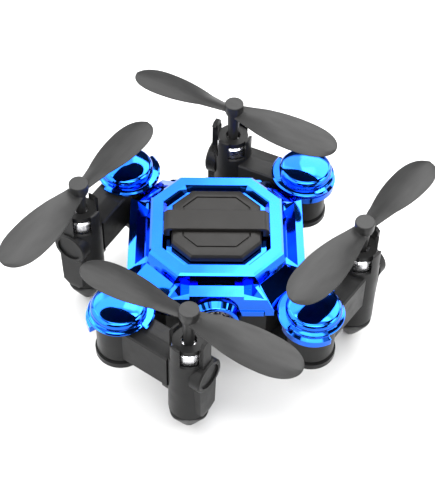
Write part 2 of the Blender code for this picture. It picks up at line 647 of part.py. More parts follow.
def power_button(material):
    """A round push button in the underside, held by a flange inside the shell."""
    flange, flange_bottom = BUTTON_RADIUS + 0.8 * MM, BODY_BOTTOM + WALL + GAP
    profile = [
        (BUTTON_RADIUS - 0.4 * MM, BODY_BOTTOM - BUTTON_PROUD),
        (BUTTON_RADIUS, BODY_BOTTOM - BUTTON_PROUD / 2),
        (BUTTON_RADIUS, flange_bottom),
        (flange, flange_bottom),
        (flange, flange_bottom + 0.6 * MM),
    ]
    button = add_object("power_button", turned(profile), MODEL, material)
    shade(button.data)


def case_screws(steel):
    """Four cross-head screws that pull the shell up against the cover from below."""
    top, head_bottom = SEAM + 3.0 * MM, BODY_BOTTOM + 0.3 * MM
    head_top = head_bottom + 0.8 * MM
    profile = [
        (SCREW_HEAD_RADIUS - 0.3 * MM, head_bottom),
        (SCREW_HEAD_RADIUS, head_bottom + 0.3 * MM),
        (SCREW_HEAD_RADIUS, head_top),
        (SCREW_RADIUS, head_top + 0.01 * MM),
        (SCREW_RADIUS, top),
    ]
    screw = add_object("case_screw", turned(profile, SMALL_ROUND), MODEL, steel)
    slots = []
    for angle in (45, 135):
        low, high = head_bottom - 1 * MM, head_bottom + 0.4 * MM
        slot = box((-0.9 * MM, -0.18 * MM, low), (0.9 * MM, 0.18 * MM, high))
        slots.append(moved(slot, angle))
    boolean(screw, "DIFFERENCE", slots)
    mesh = finished_mesh(screw)
    for number, (x, y) in enumerate(screw_places(), 1):
        place(f"case_screw_{number}", mesh, None).location = (x, y, 0)


# The arms, made along +X from the hinge axis


def crowned_bar():
    """The bar from the knuckle to the pod, with a ridged top."""
    half, edge = BAR_WIDTH / 2, 0.35 * MM
    right = [
        (half - edge, BAR_BOTTOM),
        (half, BAR_BOTTOM + edge),
        (half, BAR_TOP - edge),
        (half - edge, BAR_TOP),
    ]
    section = right + [(0, BAR_TOP + BAR_CROWN)] + [(-y, z) for y, z in reversed(right)]
    start, end = KNUCKLE_RADIUS * 0.6, ARM_LENGTH - POD_RADIUS * 0.7
    return extruded([Vector((start, y, z)) for y, z in section], (end - start, 0, 0))


def gusset():
    """The web under the bar where it meets the pod, pointed at its lower end."""
    middle = ARM_LENGTH - POD_RADIUS + 0.4 * MM
    rings = [
        octagon(1.3 * MM, 0.3 * MM, PLATE_TOP - 19.6 * MM, (middle + 0.3 * MM, 0)),
        octagon(1.9 * MM, 0.3 * MM, PLATE_TOP - 18.4 * MM, (middle, 0)),
        octagon(1.9 * MM, 0.3 * MM, BAR_BOTTOM + 1 * MM, (middle, 0)),
    ]
    return loft(rings)


def upstand():
    """The tongue that stands up from the far side of the pod, beside the propeller."""
    inner, outer = ARM_LENGTH + POD_RADIUS - 0.6 * MM, ARM_LENGTH + POD_RADIUS + 0.3 * MM
    rings = []
    for w, z in ((1.5 * MM, PLATE_TOP - 6 * MM), (1.5 * MM, UPSTAND_TOP - 0.7 * MM), (0.8 * MM, UPSTAND_TOP)):
        rings.append([Vector((x, y, z)) for x, y in ((inner, -w), (outer, -w), (outer, w), (inner, w))])
    return loft(rings)


def pod_lug():
    """The round boss on the far side of the pod."""
    start = ARM_LENGTH + POD_RADIUS - 1.6 * MM
    return along_x(cylinder(LUG_RADIUS, 0, LUG_PROUD + 1.6 * MM), (start, 0, LUG_HEIGHT))


def pod_panel():
    """The flat panel that runs down from the lug and ends in a clip below the pod's rim."""
    outer = ARM_LENGTH + POD_RADIUS + 0.5 * MM
    points = []
    for side in (-1, 1):
        for half, z in ((PANEL_HALF, LUG_HEIGHT), (PANEL_HALF - 0.4 * MM, POD_BOTTOM + 2 * MM)):
            points += [(outer, side * half, z), (outer - 2.2 * MM, side * half, z)]
        points.append((outer - 0.3 * MM, side * 1.2 * MM, POD_BOTTOM + GAP))
        points.append((outer - 2.0 * MM, side * 1.2 * MM, POD_BOTTOM + GAP))
    return hull(points)


def arm_mesh(material):
    """The moulded arm: knuckle, bar and motor pod in one piece."""
    centre = (ARM_LENGTH, 0)
    rim = [(POD_RADIUS, POD_BOTTOM), (POD_RADIUS, POD_TOP - 0.25 * MM), (POD_RADIUS - 0.2 * MM, POD_TOP)]
    arm = add_object("arm", turned(rim, 28, centre), MODEL, material)
    knuckle = turned(
        [
            (KNUCKLE_RADIUS - 0.3 * MM, KNUCKLE_BOTTOM),
            (KNUCKLE_RADIUS, KNUCKLE_BOTTOM + 0.3 * MM),
            (KNUCKLE_RADIUS, KNUCKLE_TOP - 0.2 * MM),
            (KNUCKLE_RADIUS - 0.2 * MM, KNUCKLE_TOP),
        ]
    )
    boolean(arm, "UNION", [crowned_bar(), knuckle, gusset(), upstand(), pod_panel(), pod_lug()])
    cuts = [
        cylinder(POD_RADIUS - POD_WALL, POD_BOTTOM - 1 * MM, UPSTAND_TOP + 1 * MM, 28, centre),
        cylinder(PIN_RADIUS + 0.2 * MM, KNUCKLE_BOTTOM - 1 * MM, KNUCKLE_TOP + 1 * MM, SMALL_ROUND),
    ]
    half = WINDOW_WIDTH / 2
    for k in range(4):
        window = box((0, -half, WINDOW_SILL), (POD_RADIUS + 0.25 * MM, half, POD_TOP + 1 * MM))
        cuts.append(moved(window, POD_TURN + 90 * k, (*centre, 0)))
    boolean(arm, "DIFFERENCE", cuts)
    return finished_mesh(arm)


def rounded_ring(half_x, half_y, z, power, count=28):
    """A ring between an ellipse (power 2) and a rectangle (a high power)."""
    ring = []
    for k in range(count):
        a = 2 * math.pi * k / count
        c, s = math.cos(a), math.sin(a)
        size = (abs(c) ** power + abs(s) ** power) ** (-1 / power)
        ring.append(Vector((half_x * size * c, half_y * size * s, z)))
    return ring


def foot_mesh(material):
    """The cap that closes the pod below: it tapers from the pod's round rim to a small flat tip."""
    top, plug = POD_BOTTOM - GAP, POD_RADIUS - POD_WALL - GAP
    rings = [rounded_ring(half_x, half_y, z, 3) for half_x, half_y, z in reversed(FOOT_SHAPE)]
    rings += [rounded_ring(POD_RADIUS, POD_RADIUS, top, 2)]
    rings += [rounded_ring(plug, plug, z, 2) for z in (top + 0.01 * MM, top + 0.9 * MM)]
    return finished_mesh(add_object("foot", loft(rings), MODEL, material))


def motor_meshes(steel, black):
    """(can, end cap, collar) of a 7 mm coreless motor. The collar holds it in the pod from above."""
    bottom = MOTOR_TOP - MOTOR_LENGTH
    can = add_object(
        "motor_can",
        turned(
            [
                (MOTOR_RADIUS - 0.15 * MM, bottom + 1.5 * MM),
                (MOTOR_RADIUS, bottom + 1.65 * MM),
                (MOTOR_RADIUS, MOTOR_TOP - 0.35 * MM),
                (MOTOR_RADIUS - 0.35 * MM, MOTOR_TOP),
            ]
        ),
        MODEL,
        steel,
    )
    bore = cylinder(SHAFT_RADIUS + 0.2 * MM, bottom + 4 * MM, MOTOR_TOP + 1 * MM, SMALL_ROUND)
    boolean(can, "DIFFERENCE", [bore])
    end_cap = add_object(
        "motor_end_cap", cylinder(MOTOR_RADIUS - 0.25 * MM, bottom, bottom + 1.5 * MM - GAP), MODEL, black
    )
    collar_bottom, collar_top = MOTOR_TOP + GAP, MOTOR_TOP + 1.5 * MM
    collar = add_object(
        "motor_collar", cylinder(POD_RADIUS - POD_WALL - GAP, collar_bottom, collar_top), MODEL, black
    )
    opening = cylinder(1.7 * MM, collar_bottom - 1 * MM, collar_top + 1 * MM, SMALL_ROUND)
    boolean(collar, "DIFFERENCE", [opening])
    return [finished_mesh(piece) for piece in (can, end_cap, collar)]


def pin_mesh(steel):
    """The hinge pin, pushed in from below."""
    bottom = BODY_BOTTOM
    profile = [
        (PIN_HEAD_RADIUS - 0.25 * MM, bottom),
        (PIN_HEAD_RADIUS, bottom + 0.15 * MM),
        (PIN_HEAD_RADIUS, bottom + 0.3 * MM),
        (PIN_RADIUS, bottom + 0.31 * MM),
        (PIN_RADIUS, DOME_TOP - 1.2 * MM - GAP),
    ]
    return finished_mesh(add_object("hinge_pin", turned(profile, SMALL_ROUND), MODEL, steel))


# The propellers


def chord_at(share):
    """Chord of the blade at a share of the way from hub to tip: it widens to a paddle with a round end."""
    widest = 0.62
    rise = min(share / widest, 1)
    width = ROOT_CHORD + (CHORD - ROOT_CHORD) * math.sin(rise * math.pi / 2) ** 1.15
    beyond = max(0.0, (share - widest) / (1 - widest))
    return width * math.sqrt(max(0.0, 1 - beyond**2.7))


def blade(turning, level, stations=10, across=4):
    """One blade along +X. It is twisted to a constant pitch, slightly cambered, and thin at its edges."""
    start = CAP_RADIUS * 0.45
    rings = []
    for i in range(stations):
        share = math.sin(i / (stations - 1) * math.pi / 2) * 0.995
        r = start + (PROP_RADIUS - start) * share
        chord = max(chord_at(share), 0.8 * MM)
        twist = math.atan(BLADE_PITCH / (2 * math.pi * max(r, 7.0 * MM)))
        upper, lower = [], []
        for j in range(across + 1):
            u = -0.5 + j / across
            thick = BLADE_THICKNESS * (0.35 + 0.65 * math.cos(u * math.pi))
            camber = 0.035 * chord * math.cos(u * math.pi)
            for side, line in ((1, upper), (-1, lower)):
                y, z = u * chord, camber + side * thick / 2
                line.append(
                    Vector(
                        (
                            r,
                            turning * (y * math.cos(twist) - z * math.sin(twist)),
                            level + y * math.sin(twist) + z * math.cos(twist),
                        )
                    )
                )
        rings.append(upper + lower[::-1])
    return loft(rings)


def propeller_mesh(cap_top, turning, material):
    """Two blades on a stem with a flat round cap."""
    level, cap_bottom = cap_top - BLADE_BELOW_CAP, cap_top - CAP_HEIGHT
    profile = [
        (1.05 * MM, STEM_BOTTOM),
        (1.45 * MM, cap_bottom - 0.8 * MM),
        (NECK_RADIUS, cap_bottom - 0.6 * MM),
        (NECK_RADIUS, cap_bottom),
        (CAP_RADIUS, cap_bottom + 0.15 * MM),
        (CAP_RADIUS, cap_top - 0.2 * MM),
        (CAP_RADIUS - 0.2 * MM, cap_top),
    ]
    prop = add_object("propeller", turned(profile), MODEL, material)
    boolean(prop, "UNION", [moved(blade(turning, level), angle) for angle in (0, 180)])
    bore = cylinder(SHAFT_RADIUS + GAP, STEM_BOTTOM - 1 * MM, cap_top - 1.5 * MM, SMALL_ROUND)
    boolean(prop, "DIFFERENCE", [bore])
    return finished_mesh(prop)


def shaft_mesh(cap_top, steel):
    bottom = MOTOR_TOP - MOTOR_LENGTH + 4 * MM + GAP
    shaft = cylinder(SHAFT_RADIUS, bottom, cap_top - 1.5 * MM - GAP, SMALL_ROUND)
    return finished_mesh(add_object("motor_shaft", shaft, MODEL, steel))


def add_arms(plastic, blade_plastic, steel, black):
    arm, foot, pin = arm_mesh(plastic), foot_mesh(plastic), pin_mesh(steel)
    can, end_cap, collar = motor_meshes(steel, black)
    props, shafts = {}, {}
    for cap_top, turning in ((HIGH_CAP, 1), (LOW_CAP, -1)):
        props[cap_top] = propeller_mesh(cap_top, turning, blade_plastic)
        shafts[cap_top] = shaft_mesh(cap_top, steel)
    for name, (x, y, straight, angle, prop_line, cap_top, _) in ARMS.items():
        heading = straight + angle
        hinge = add_empty(f"hinge_{name}", (x * PIVOT, y * PIVOT, 0), heading)
        place(f"hinge_pin_{name}", pin, None).location = (x * PIVOT, y * PIVOT, 0)
        place(f"arm_{name}", arm, hinge)
        pod = add_empty(f"pod_{name}", (ARM_LENGTH, 0, 0), POD_TURN, hinge)
        pieces = {"foot": foot, "motor_can": can, "motor_end_cap": end_cap, "motor_collar": collar}
        for piece, mesh in pieces.items():
            place(f"{piece}_{name}", mesh, pod)
        spin = add_empty(f"spin_{name}", (ARM_LENGTH, 0, 0), prop_line - heading, hinge)
        place(f"propeller_{name}", props[cap_top], spin)
        place(f"motor_shaft_{name}", shafts[cap_top], spin)


clear_scene()
MODEL = new_collection("mini_palm_drone")
HELPERS = new_collection("helpers")

blue_chrome = new_material("blue_chrome", (0.01, 0.14, 0.85), 0.08, 1.0)
black_plastic = new_material("black_plastic", (0.03, 0.03, 0.032), 0.38)
grey_plastic = new_material("grey_plastic", (0.09, 0.088, 0.085), 0.45)
blade_plastic = new_material("blade_plastic", (0.10, 0.10, 0.10), 0.42)
gloss_black = new_material("gloss_black", (0.01, 0.01, 0.012), 0.08)
bright_steel = new_material("bright_steel", (0.75, 0.75, 0.76), 0.22, 1.0)
board_green = new_material("board_green", (0.02, 0.12, 0.05), 0.4)
battery_wrap = new_material("battery_wrap", (0.55, 0.57, 0.6), 0.35, 0.4)

top_cover(blue_chrome)
lower_shell(black_plastic)
badge_plate(grey_plastic)
badge_band(grey_plastic)
camera(blue_chrome, gloss_black, board_green)
electronics(board_green, battery_wrap, bright_steel)
power_button(black_plastic)
case_screws(bright_steel)
add_arms(black_plastic, blade_plastic, bright_steel, black_plastic)
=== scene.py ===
"""The looks of the mini palm drone: fine meshes for what shows, materials, studio light and a camera.

Metres, +Z up, in the frame of the CAD model. The arm and the foot are made once, and a propeller once for
each way of turning, all along +X. The joints of the frame say where each one goes."""

import json
import math

import bmesh
import bpy
from mathutils import Matrix, Vector


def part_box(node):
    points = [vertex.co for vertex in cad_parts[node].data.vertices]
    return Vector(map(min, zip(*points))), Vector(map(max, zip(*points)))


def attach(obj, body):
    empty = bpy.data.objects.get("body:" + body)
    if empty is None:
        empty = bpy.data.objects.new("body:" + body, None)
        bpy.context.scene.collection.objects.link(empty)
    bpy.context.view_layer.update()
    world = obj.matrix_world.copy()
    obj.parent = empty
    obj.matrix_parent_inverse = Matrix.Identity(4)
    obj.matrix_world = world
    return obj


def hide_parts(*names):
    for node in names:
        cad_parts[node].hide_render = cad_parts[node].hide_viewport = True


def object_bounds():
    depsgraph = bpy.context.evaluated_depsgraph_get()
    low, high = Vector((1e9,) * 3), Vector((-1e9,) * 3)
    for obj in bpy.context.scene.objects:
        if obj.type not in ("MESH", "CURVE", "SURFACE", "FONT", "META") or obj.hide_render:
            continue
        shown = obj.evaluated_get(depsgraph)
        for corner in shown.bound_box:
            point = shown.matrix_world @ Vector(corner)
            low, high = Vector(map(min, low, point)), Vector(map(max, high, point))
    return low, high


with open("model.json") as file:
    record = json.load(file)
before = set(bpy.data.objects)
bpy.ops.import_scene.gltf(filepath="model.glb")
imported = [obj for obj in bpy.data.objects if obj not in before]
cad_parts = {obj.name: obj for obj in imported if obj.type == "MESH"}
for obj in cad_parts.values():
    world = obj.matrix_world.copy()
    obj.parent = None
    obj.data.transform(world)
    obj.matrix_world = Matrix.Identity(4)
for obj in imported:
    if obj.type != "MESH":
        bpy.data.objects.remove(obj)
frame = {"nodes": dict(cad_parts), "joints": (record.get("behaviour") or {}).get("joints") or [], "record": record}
CAD_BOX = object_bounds()

MM = 0.001
GAP = 0.3 * MM
SIDES, FEW_SIDES = 72, 32  # of large and of small turned pieces

# Heights
GROUND = CAD_BOX[0][2]
PLATE_TOP = GROUND + 29.6 * MM
BODY_BOTTOM = PLATE_TOP - 17.2 * MM
SEAM = PLATE_TOP - 7.6 * MM
RAIL_TOP = PLATE_TOP - 2.9 * MM
DOME_TOP, DOME_BOTTOM = PLATE_TOP - 1.7 * MM, PLATE_TOP - 5.0 * MM
BELT_TOP = PLATE_TOP - 6.1 * MM

# The cover. A ring's reach is |x| + |y| on its cut corners.
PLATE_HALF, PLATE_REACH, PLATE_EDGE = 14.0 * MM, 21.5 * MM, 0.35 * MM
WAIST, WAIST_HALF, WAIST_REACH = PLATE_TOP - 2.4 * MM, 14.6 * MM, 23.6 * MM
WING_TIP = 12.0 * MM
RECESS_HALF, RECESS_CORNER, RECESS_DEPTH = 11.4 * MM, 4.6 * MM, 1.5 * MM
BODY_HALF, BELT_HALF, BELT_CORNER = 18.7 * MM, 18.9 * MM, 9.0 * MM
RAIL_HALF_LENGTH, RAIL_WIDTH, RAIL_DROP = 10.4 * MM, 1.6 * MM, 0.45 * MM
POCKET_FLOOR = PLATE_TOP - 4.5 * MM
TAB_HALF, TAB_TOP, TAB_BACK = 5.6 * MM, PLATE_TOP - 1.5 * MM, -15.8 * MM
COVER_EDGES = {"width": 0.14 * MM, "angle": 24, "segments": 2, "smooth": 32}

# The badge in the recess
BADGE_HALF, BADGE_CORNER, BADGE_TOP = 9.5 * MM, 4.1 * MM, PLATE_TOP + 0.8 * MM
GROOVE_HALF, GROOVE_CORNER, GROOVE_WIDTH = 7.2 * MM, 3.0 * MM, 0.32 * MM
BAND_HALF_WIDTH, BAND_REACH, BAND_TOP = 2.75 * MM, 11.3 * MM, BADGE_TOP + 0.75 * MM

# The tub under the cover
BELOW_BODY = BODY_BOTTOM - 1 * MM  # where the holes bored from below start
SHELL_HALF, SHELL_CORNER, SHELL_CHAMFER, SHELL_WALL = 18.0 * MM, 7.5 * MM, 1.4 * MM, 1.2 * MM
EAR_RADIUS, EAR_HALF_WIDTH, EAR_LENGTH, EAR_THICKNESS = 5.4 * MM, 4.0 * MM, 13.0 * MM, 1.3 * MM
PIN_HEAD_RADIUS, PIN_HEAD_DEPTH = 2.5 * MM, 0.6 * MM
SCREW_PLACE, POST_RADIUS, SCREW_RADIUS = 12.2 * MM, 2.0 * MM, 1.1 * MM
SCREW_HEAD_RADIUS, SCREW_HEAD_DEPTH = 1.8 * MM, 1.4 * MM
SOCKET_HALF, SOCKET_TOP, SOCKET_BOTTOM = 4.05 * MM, PLATE_TOP - 8.8 * MM, PLATE_TOP - 12.2 * MM
BUTTON_HOLE_RADIUS = 2.7 * MM
VENTS, VENT_PITCH, VENT_MIDDLE, VENT_DEPTH = 5, 1.9 * MM, -8.0 * MM, 0.45 * MM
VENT_HALF_LENGTH, VENT_HALF_WIDTH = 4.5 * MM, 0.35 * MM

# Pivot housings and arms
PIVOT = 20.0 * MM
DOME_RADIUS, DOME_FLAT, DOME_CROWN = 5.9 * MM, 4.7 * MM, 0.5 * MM
BRIM_RADIUS, FLARE_RADIUS, BELT_RADIUS, HOUSING_INNER = 6.6 * MM, 7.5 * MM, 6.9 * MM, 5.3 * MM
HOUSING_FROM, HOUSING_TO, FOLDED = -10, 165, 73
KNUCKLE_RADIUS = 5.0 * MM
KNUCKLE_TOP, KNUCKLE_BOTTOM = PLATE_TOP - 5.3 * MM, BODY_BOTTOM + 1.6 * MM
PIN_RADIUS = 1.15 * MM
BAR_WIDTH, BAR_CROWN = 7.2 * MM, 0.5 * MM
BAR_TOP, BAR_BOTTOM = PLATE_TOP - 5.9 * MM, PLATE_TOP - 15.0 * MM
ARM_LENGTH = 17.9 * MM

# Motor pods
POD_RADIUS, POD_WALL = 4.35 * MM, 0.65 * MM
POD_TOP, POD_BOTTOM = PLATE_TOP + 0.3 * MM, PLATE_TOP - 22.3 * MM
WINDOW_SILL, WINDOW_WIDTH = PLATE_TOP - 4.8 * MM, 3.9 * MM
POD_TURN = 38
UPSTAND_TOP = PLATE_TOP + 2.0 * MM
LUG_RADIUS, LUG_HEIGHT, LUG_PROUD = 3.9 * MM, PLATE_TOP - 8.8 * MM, 0.9 * MM
PANEL_HALF = 2.9 * MM
FOOT_SHAPE = (  # (half width, half depth, height above the ground), down to the tip
    (4.15 * MM, 4.05 * MM, 6.6 * MM),
    (4.0 * MM, 3.8 * MM, 5.9 * MM),
    (2.6 * MM, 2.0 * MM, 2.7 * MM),
    (1.5 * MM, 1.2 * MM, 0.9 * MM),
    (1.0 * MM, 0.85 * MM, 0.15 * MM),
    (0.8 * MM, 0.7 * MM, 0.0),
)

# Propellers
PROP_RADIUS, CHORD, ROOT_CHORD = 25.1 * MM, 8.7 * MM, 3.6 * MM
BLADE_THICKNESS, BLADE_PITCH = 0.5 * MM, 17.0 * MM
CAP_RADIUS, CAP_HEIGHT, NECK_RADIUS, BLADE_BELOW_CAP = 2.1 * MM, 2.2 * MM, 1.85 * MM, 2.3 * MM
STEM_BOTTOM = PLATE_TOP - 1.7 * MM
SHAFT_RADIUS = 0.5 * MM

# Camera in the nose
CAMERA_RADIUS, CAMERA_BORE = 5.1 * MM, 4.1 * MM
CAMERA_HEIGHT, CAMERA_NOSE, CAMERA_REAR = PLATE_TOP - 8.2 * MM, -20.5 * MM, -16.6 * MM

# Degrees from +X to each propeller, and the way it turns seen from above
PROPELLERS = {"right": (51.4, -1), "back": (-28.8, 1), "left": (56.5, -1), "front": (-31.0, 1)}


def joint_place(name):
    joint = next(j for j in frame["joints"] if j["name"] == name)
    return Vector(joint["pos_m"])


def arm_matrix(name):
    """From an arm made along +X at the Z axis to where the frame has it."""
    pivot, hub = joint_place(f"{name}_arm_fold"), joint_place(f"{name}_rotor_spin")
    heading = math.atan2(hub.y - pivot.y, hub.x - pivot.x)
    return Matrix.Translation((pivot.x, pivot.y, 0)) @ Matrix.Rotation(heading, 4, "Z")


# Shapes. Each function returns a bmesh.


def octagon(half, corner, z, centre=(0, 0)):
    """A square of that half width with its corners cut off, as a ring of points at height z."""
    short = half - corner
    ring = []
    for x, y in ((1, -1), (1, 1), (-1, 1), (-1, -1)):
        ends = [(half * x, short * y), (short * x, half * y)]
        ring += ends if x * y > 0 else ends[::-1]
    return [Vector((centre[0] + x, centre[1] + y, z)) for x, y in ring]


def reach_ring(half, reach, z):
    return octagon(half, 2 * half - reach, z)


def loft(rings):
    """A closed solid through unlike rings of equally many points."""
    bm = bmesh.new()
    made = [[bm.verts.new(point) for point in ring] for ring in rings]
    count = len(rings[0])
    for lower, upper in zip(made, made[1:]):
        for i in range(count):
            j = (i + 1) % count
            bm.faces.new((lower[i], lower[j], upper[j], upper[i]))
    bm.faces.new(made[0][::-1])
    bm.faces.new(made[-1])
    bmesh.ops.recalc_face_normals(bm, faces=bm.faces)
    return bm


def extruded(outline, direction):
    bm = bmesh.new()
    face = bm.faces.new([bm.verts.new(point) for point in outline])
    made = bmesh.ops.extrude_face_region(bm, geom=[face])["geom"]
    bmesh.ops.translate(bm, vec=direction, verts=[v for v in made if isinstance(v, bmesh.types.BMVert)])
    bmesh.ops.recalc_face_normals(bm, faces=bm.faces)
    return bm


def prism(outline, bottom, top):
    return extruded([Vector((x, y, bottom)) for x, y in outline], (0, 0, top - bottom))


def hull(points):
    bm = bmesh.new()
    for point in points:
        bm.verts.new(point)
    made = bmesh.ops.convex_hull(bm, input=bm.verts)
    spare = {v for v in made["geom_interior"] + made["geom_unused"] if isinstance(v, bmesh.types.BMVert)}
    bmesh.ops.delete(bm, geom=list(spare), context="VERTS")
    bmesh.ops.dissolve_limit(bm, angle_limit=math.radians(1), verts=bm.verts, edges=bm.edges)
    bmesh.ops.recalc_face_normals(bm, faces=bm.faces)
    return bm


def spun(path, angle, steps, closed=False):
    """A path of (radius, z) pairs spun about the Z axis from +X, without caps."""
    bm = bmesh.new()
    verts = [bm.verts.new((radius, 0, z)) for radius, z in path]
    ends = zip(verts, verts[1:] + verts[:1]) if closed else zip(verts, verts[1:])
    edges = [bm.edges.new(pair) for pair in ends]
    whole = angle == 360
    turn = {"cent": (0, 0, 0), "axis": (0, 0, 1), "angle": math.radians(angle), "steps": steps}
    bmesh.ops.spin(bm, geom=verts + edges, use_merge=whole, **turn)
    bmesh.ops.remove_doubles(bm, verts=bm.verts, dist=1e-7)
    return bm


def turned(profile, segments=SIDES, centre=(0, 0)):
    bm = spun(profile, 360, segments)
    bmesh.ops.holes_fill(bm, edges=bm.edges)
    bmesh.ops.recalc_face_normals(bm, faces=bm.faces)
    bmesh.ops.translate(bm, vec=(*centre, 0), verts=bm.verts)
    return bm


def swept(section, start, end, segments=40):
    """A (radius, z) section carried round the Z axis from one angle to another, in degrees."""
    bm = spun(section, end - start, segments, closed=True)
    bmesh.ops.holes_fill(bm, edges=bm.edges)
    bmesh.ops.recalc_face_normals(bm, faces=bm.faces)
    return moved(bm, start)


def cylinder(radius, bottom, top, segments=SIDES, centre=(0, 0)):
    return turned([(radius, bottom), (radius, top)], segments, centre)


def along_y(bm, height=0.0):
    """A shape turned about Z laid down so that its top points to -Y."""
    bmesh.ops.rotate(bm, matrix=Matrix.Rotation(math.radians(90), 3, "X"), verts=bm.verts)
    bmesh.ops.translate(bm, vec=(0, 0, height), verts=bm.verts)
    return bm


def along_x(bm, offset):
    """A shape turned about Z laid down so that its top points to +X, then shifted."""
    bmesh.ops.rotate(bm, matrix=Matrix.Rotation(math.radians(90), 3, "Y"), verts=bm.verts)
    bmesh.ops.translate(bm, vec=offset, verts=bm.verts)
    return bm


def barrel(radius, rear, front):
    """A cylinder along Y at the camera's height."""
    return along_y(cylinder(radius, -rear, -front), CAMERA_HEIGHT)


def box(low, high):
    bm = bmesh.new()
    bmesh.ops.create_cube(bm, size=1)
    bmesh.ops.scale(bm, vec=[b - a for a, b in zip(low, high)], verts=bm.verts)
    bmesh.ops.translate(bm, vec=[(a + b) / 2 for a, b in zip(low, high)], verts=bm.verts)
    return bm


def rounded_ring(half_x, half_y, z, power, count=SIDES):
    """A ring between an ellipse (power 2) and a rectangle (a high power)."""
    ring = []
    for k in range(count):
        a = 2 * math.pi * k / count
        c, s = math.cos(a), math.sin(a)
        size = (abs(c) ** power + abs(s) ** power) ** (-1 / power)
        ring.append(Vector((half_x * size * c, half_y * size * s, z)))
    return ring


def moved(bm, angle=0.0, offset=(0, 0, 0)):
    bmesh.ops.rotate(bm, matrix=Matrix.Rotation(math.radians(angle), 3, "Z"), verts=bm.verts)
    bmesh.ops.translate(bm, vec=offset, verts=bm.verts)
    return bm


def at_corner(bm, k):
    """A shape made round the Z axis, with the body on its +X side, moved to corner k."""
    turn = 135 + 90 * k
    away = math.radians(turn + 180)
    distance = PIVOT * math.sqrt(2)
    return moved(bm, turn, (distance * math.cos(away), distance * math.sin(away), 0))


# Objects


def mesh_object(name, bm):
    mesh = bpy.data.meshes.new(name)
    bm.to_mesh(mesh)
    bm.free()
    obj = bpy.data.objects.new(name, mesh)
    bpy.context.scene.collection.objects.link(obj)
    return obj


def carved(name, bm, steps):
    """A mesh from a start shape and (operation, shapes) steps, done with exact Booleans."""
    obj = mesh_object(name, bm)
    helpers = []
    for operation, shapes in steps:
        for shape in shapes:
            helper = mesh_object("helper", shape)
            helpers.append(helper)
            modifier = obj.modifiers.new("carve", "BOOLEAN")
            modifier.operation = operation
            modifier.solver = "EXACT"
            modifier.object = helper
    mesh = bpy.data.meshes.new_from_object(obj.evaluated_get(bpy.context.evaluated_depsgraph_get()))
    for helper in helpers + [obj]:
        bpy.data.objects.remove(helper, do_unlink=True)
    mesh.name = name
    return mesh


def soften(mesh, width, angle=28, segments=2, smooth=35):
    """The mesh with its sharp edges rounded, shaded smooth between them."""
    obj = bpy.data.objects.new("soften", mesh)
    bpy.context.scene.collection.objects.link(obj)
    bevel = obj.modifiers.new("bevel", "BEVEL")
    bevel.width = width
    bevel.segments = segments
    bevel.limit_method = "ANGLE"
    bevel.angle_limit = math.radians(angle)
    bevel.harden_normals = False
    bevel.use_clamp_overlap = True
    made = bpy.data.meshes.new_from_object(obj.evaluated_get(bpy.context.evaluated_depsgraph_get()))
    bpy.data.objects.remove(obj, do_unlink=True)
    made.name = mesh.name
    made.shade_smooth()
    made.set_sharp_from_angle(angle=math.radians(smooth))
    return made


def put(name, mesh, slot, body, node, matrix=None):
    """One visible piece: the mesh moved into place, on its body, standing for its CAD node.

    The attribute "local" keeps where each point was before the move."""
    mesh = mesh.copy()
    mesh.name = name
    local = mesh.attributes.new("local", "FLOAT_VECTOR", "POINT")
    flat = [0.0] * (3 * len(mesh.vertices))
    mesh.vertices.foreach_get("co", flat)
    local.data.foreach_set("vector", flat)
    if matrix:
        mesh.transform(matrix)
    mesh.materials.clear()
    mesh.materials.append(MATERIALS[slot])
    obj = bpy.data.objects.new(name, mesh)
    bpy.context.scene.collection.objects.link(obj)
    weighted = obj.modifiers.new("normals", "WEIGHTED_NORMAL")
    weighted.keep_sharp = True
    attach(obj, body)
    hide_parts(node)
    return obj


# Materials


class Nodes:
    """A short way to write a material's node tree."""

    def __init__(self, name):
        self.material = bpy.data.materials.new(name)
        self.material.use_nodes = True
        self.tree = self.material.node_tree
        self.shader = self.tree.nodes["Principled BSDF"]
        self.place = self.add("ShaderNodeTexCoord").outputs["Object"]

    def use_local(self):
        """Take places from the mesh as it was made, before it was turned into position."""
        self.place = self.add("ShaderNodeAttribute", attribute_name="local").outputs["Vector"]

    def add(self, kind, **values):
        node = self.tree.nodes.new(kind)
        for key, value in values.items():
            setattr(node, key, value)
        return node

    def link(self, source, target):
        self.tree.links.new(source, target)

    def scaled(self, scale):
        mapping = self.add("ShaderNodeMapping")
        mapping.inputs["Scale"].default_value = scale
        self.link(self.place, mapping.inputs["Vector"])
        return mapping.outputs["Vector"]

    def noise(self, scale, detail=3.0, stretch=None):
        noise = self.add("ShaderNodeTexNoise")
        noise.inputs["Scale"].default_value = scale
        noise.inputs["Detail"].default_value = detail
        self.link(self.scaled(stretch) if stretch else self.place, noise.inputs["Vector"])
        return noise.outputs["Fac"]

    def ramp(self, source, stops):
        """Colours, or greys given as one number, over the source's 0 to 1."""
        ramp = self.add("ShaderNodeValToRGB")
        elements = ramp.color_ramp.elements
        while len(elements) < len(stops):
            elements.new(0.5)
        for element, (position, colour) in zip(elements, stops):
            element.position = position
            element.color = (*colour, 1) if isinstance(colour, tuple) else (colour, colour, colour, 1)
        self.link(source, ramp.inputs["Fac"])
        return ramp.outputs["Color"]

    def bump(self, height, strength, distance, under=None):
        bump = self.add("ShaderNodeBump")
        bump.inputs["Strength"].default_value = strength
        bump.inputs["Distance"].default_value = distance
        self.link(height, bump.inputs["Height"])
        if under:
            self.link(under, bump.inputs["Normal"])
        return bump.outputs["Normal"]

    def finish(self, colour, roughness, normal=None, **sockets):
        self.link(colour, self.shader.inputs["Base Color"])
        self.link(roughness, self.shader.inputs["Roughness"])
        if normal:
            self.link(normal, self.shader.inputs["Normal"])
        for name, value in sockets.items():
            self.shader.inputs[name.replace("_", " ")].default_value = value
        return self.material


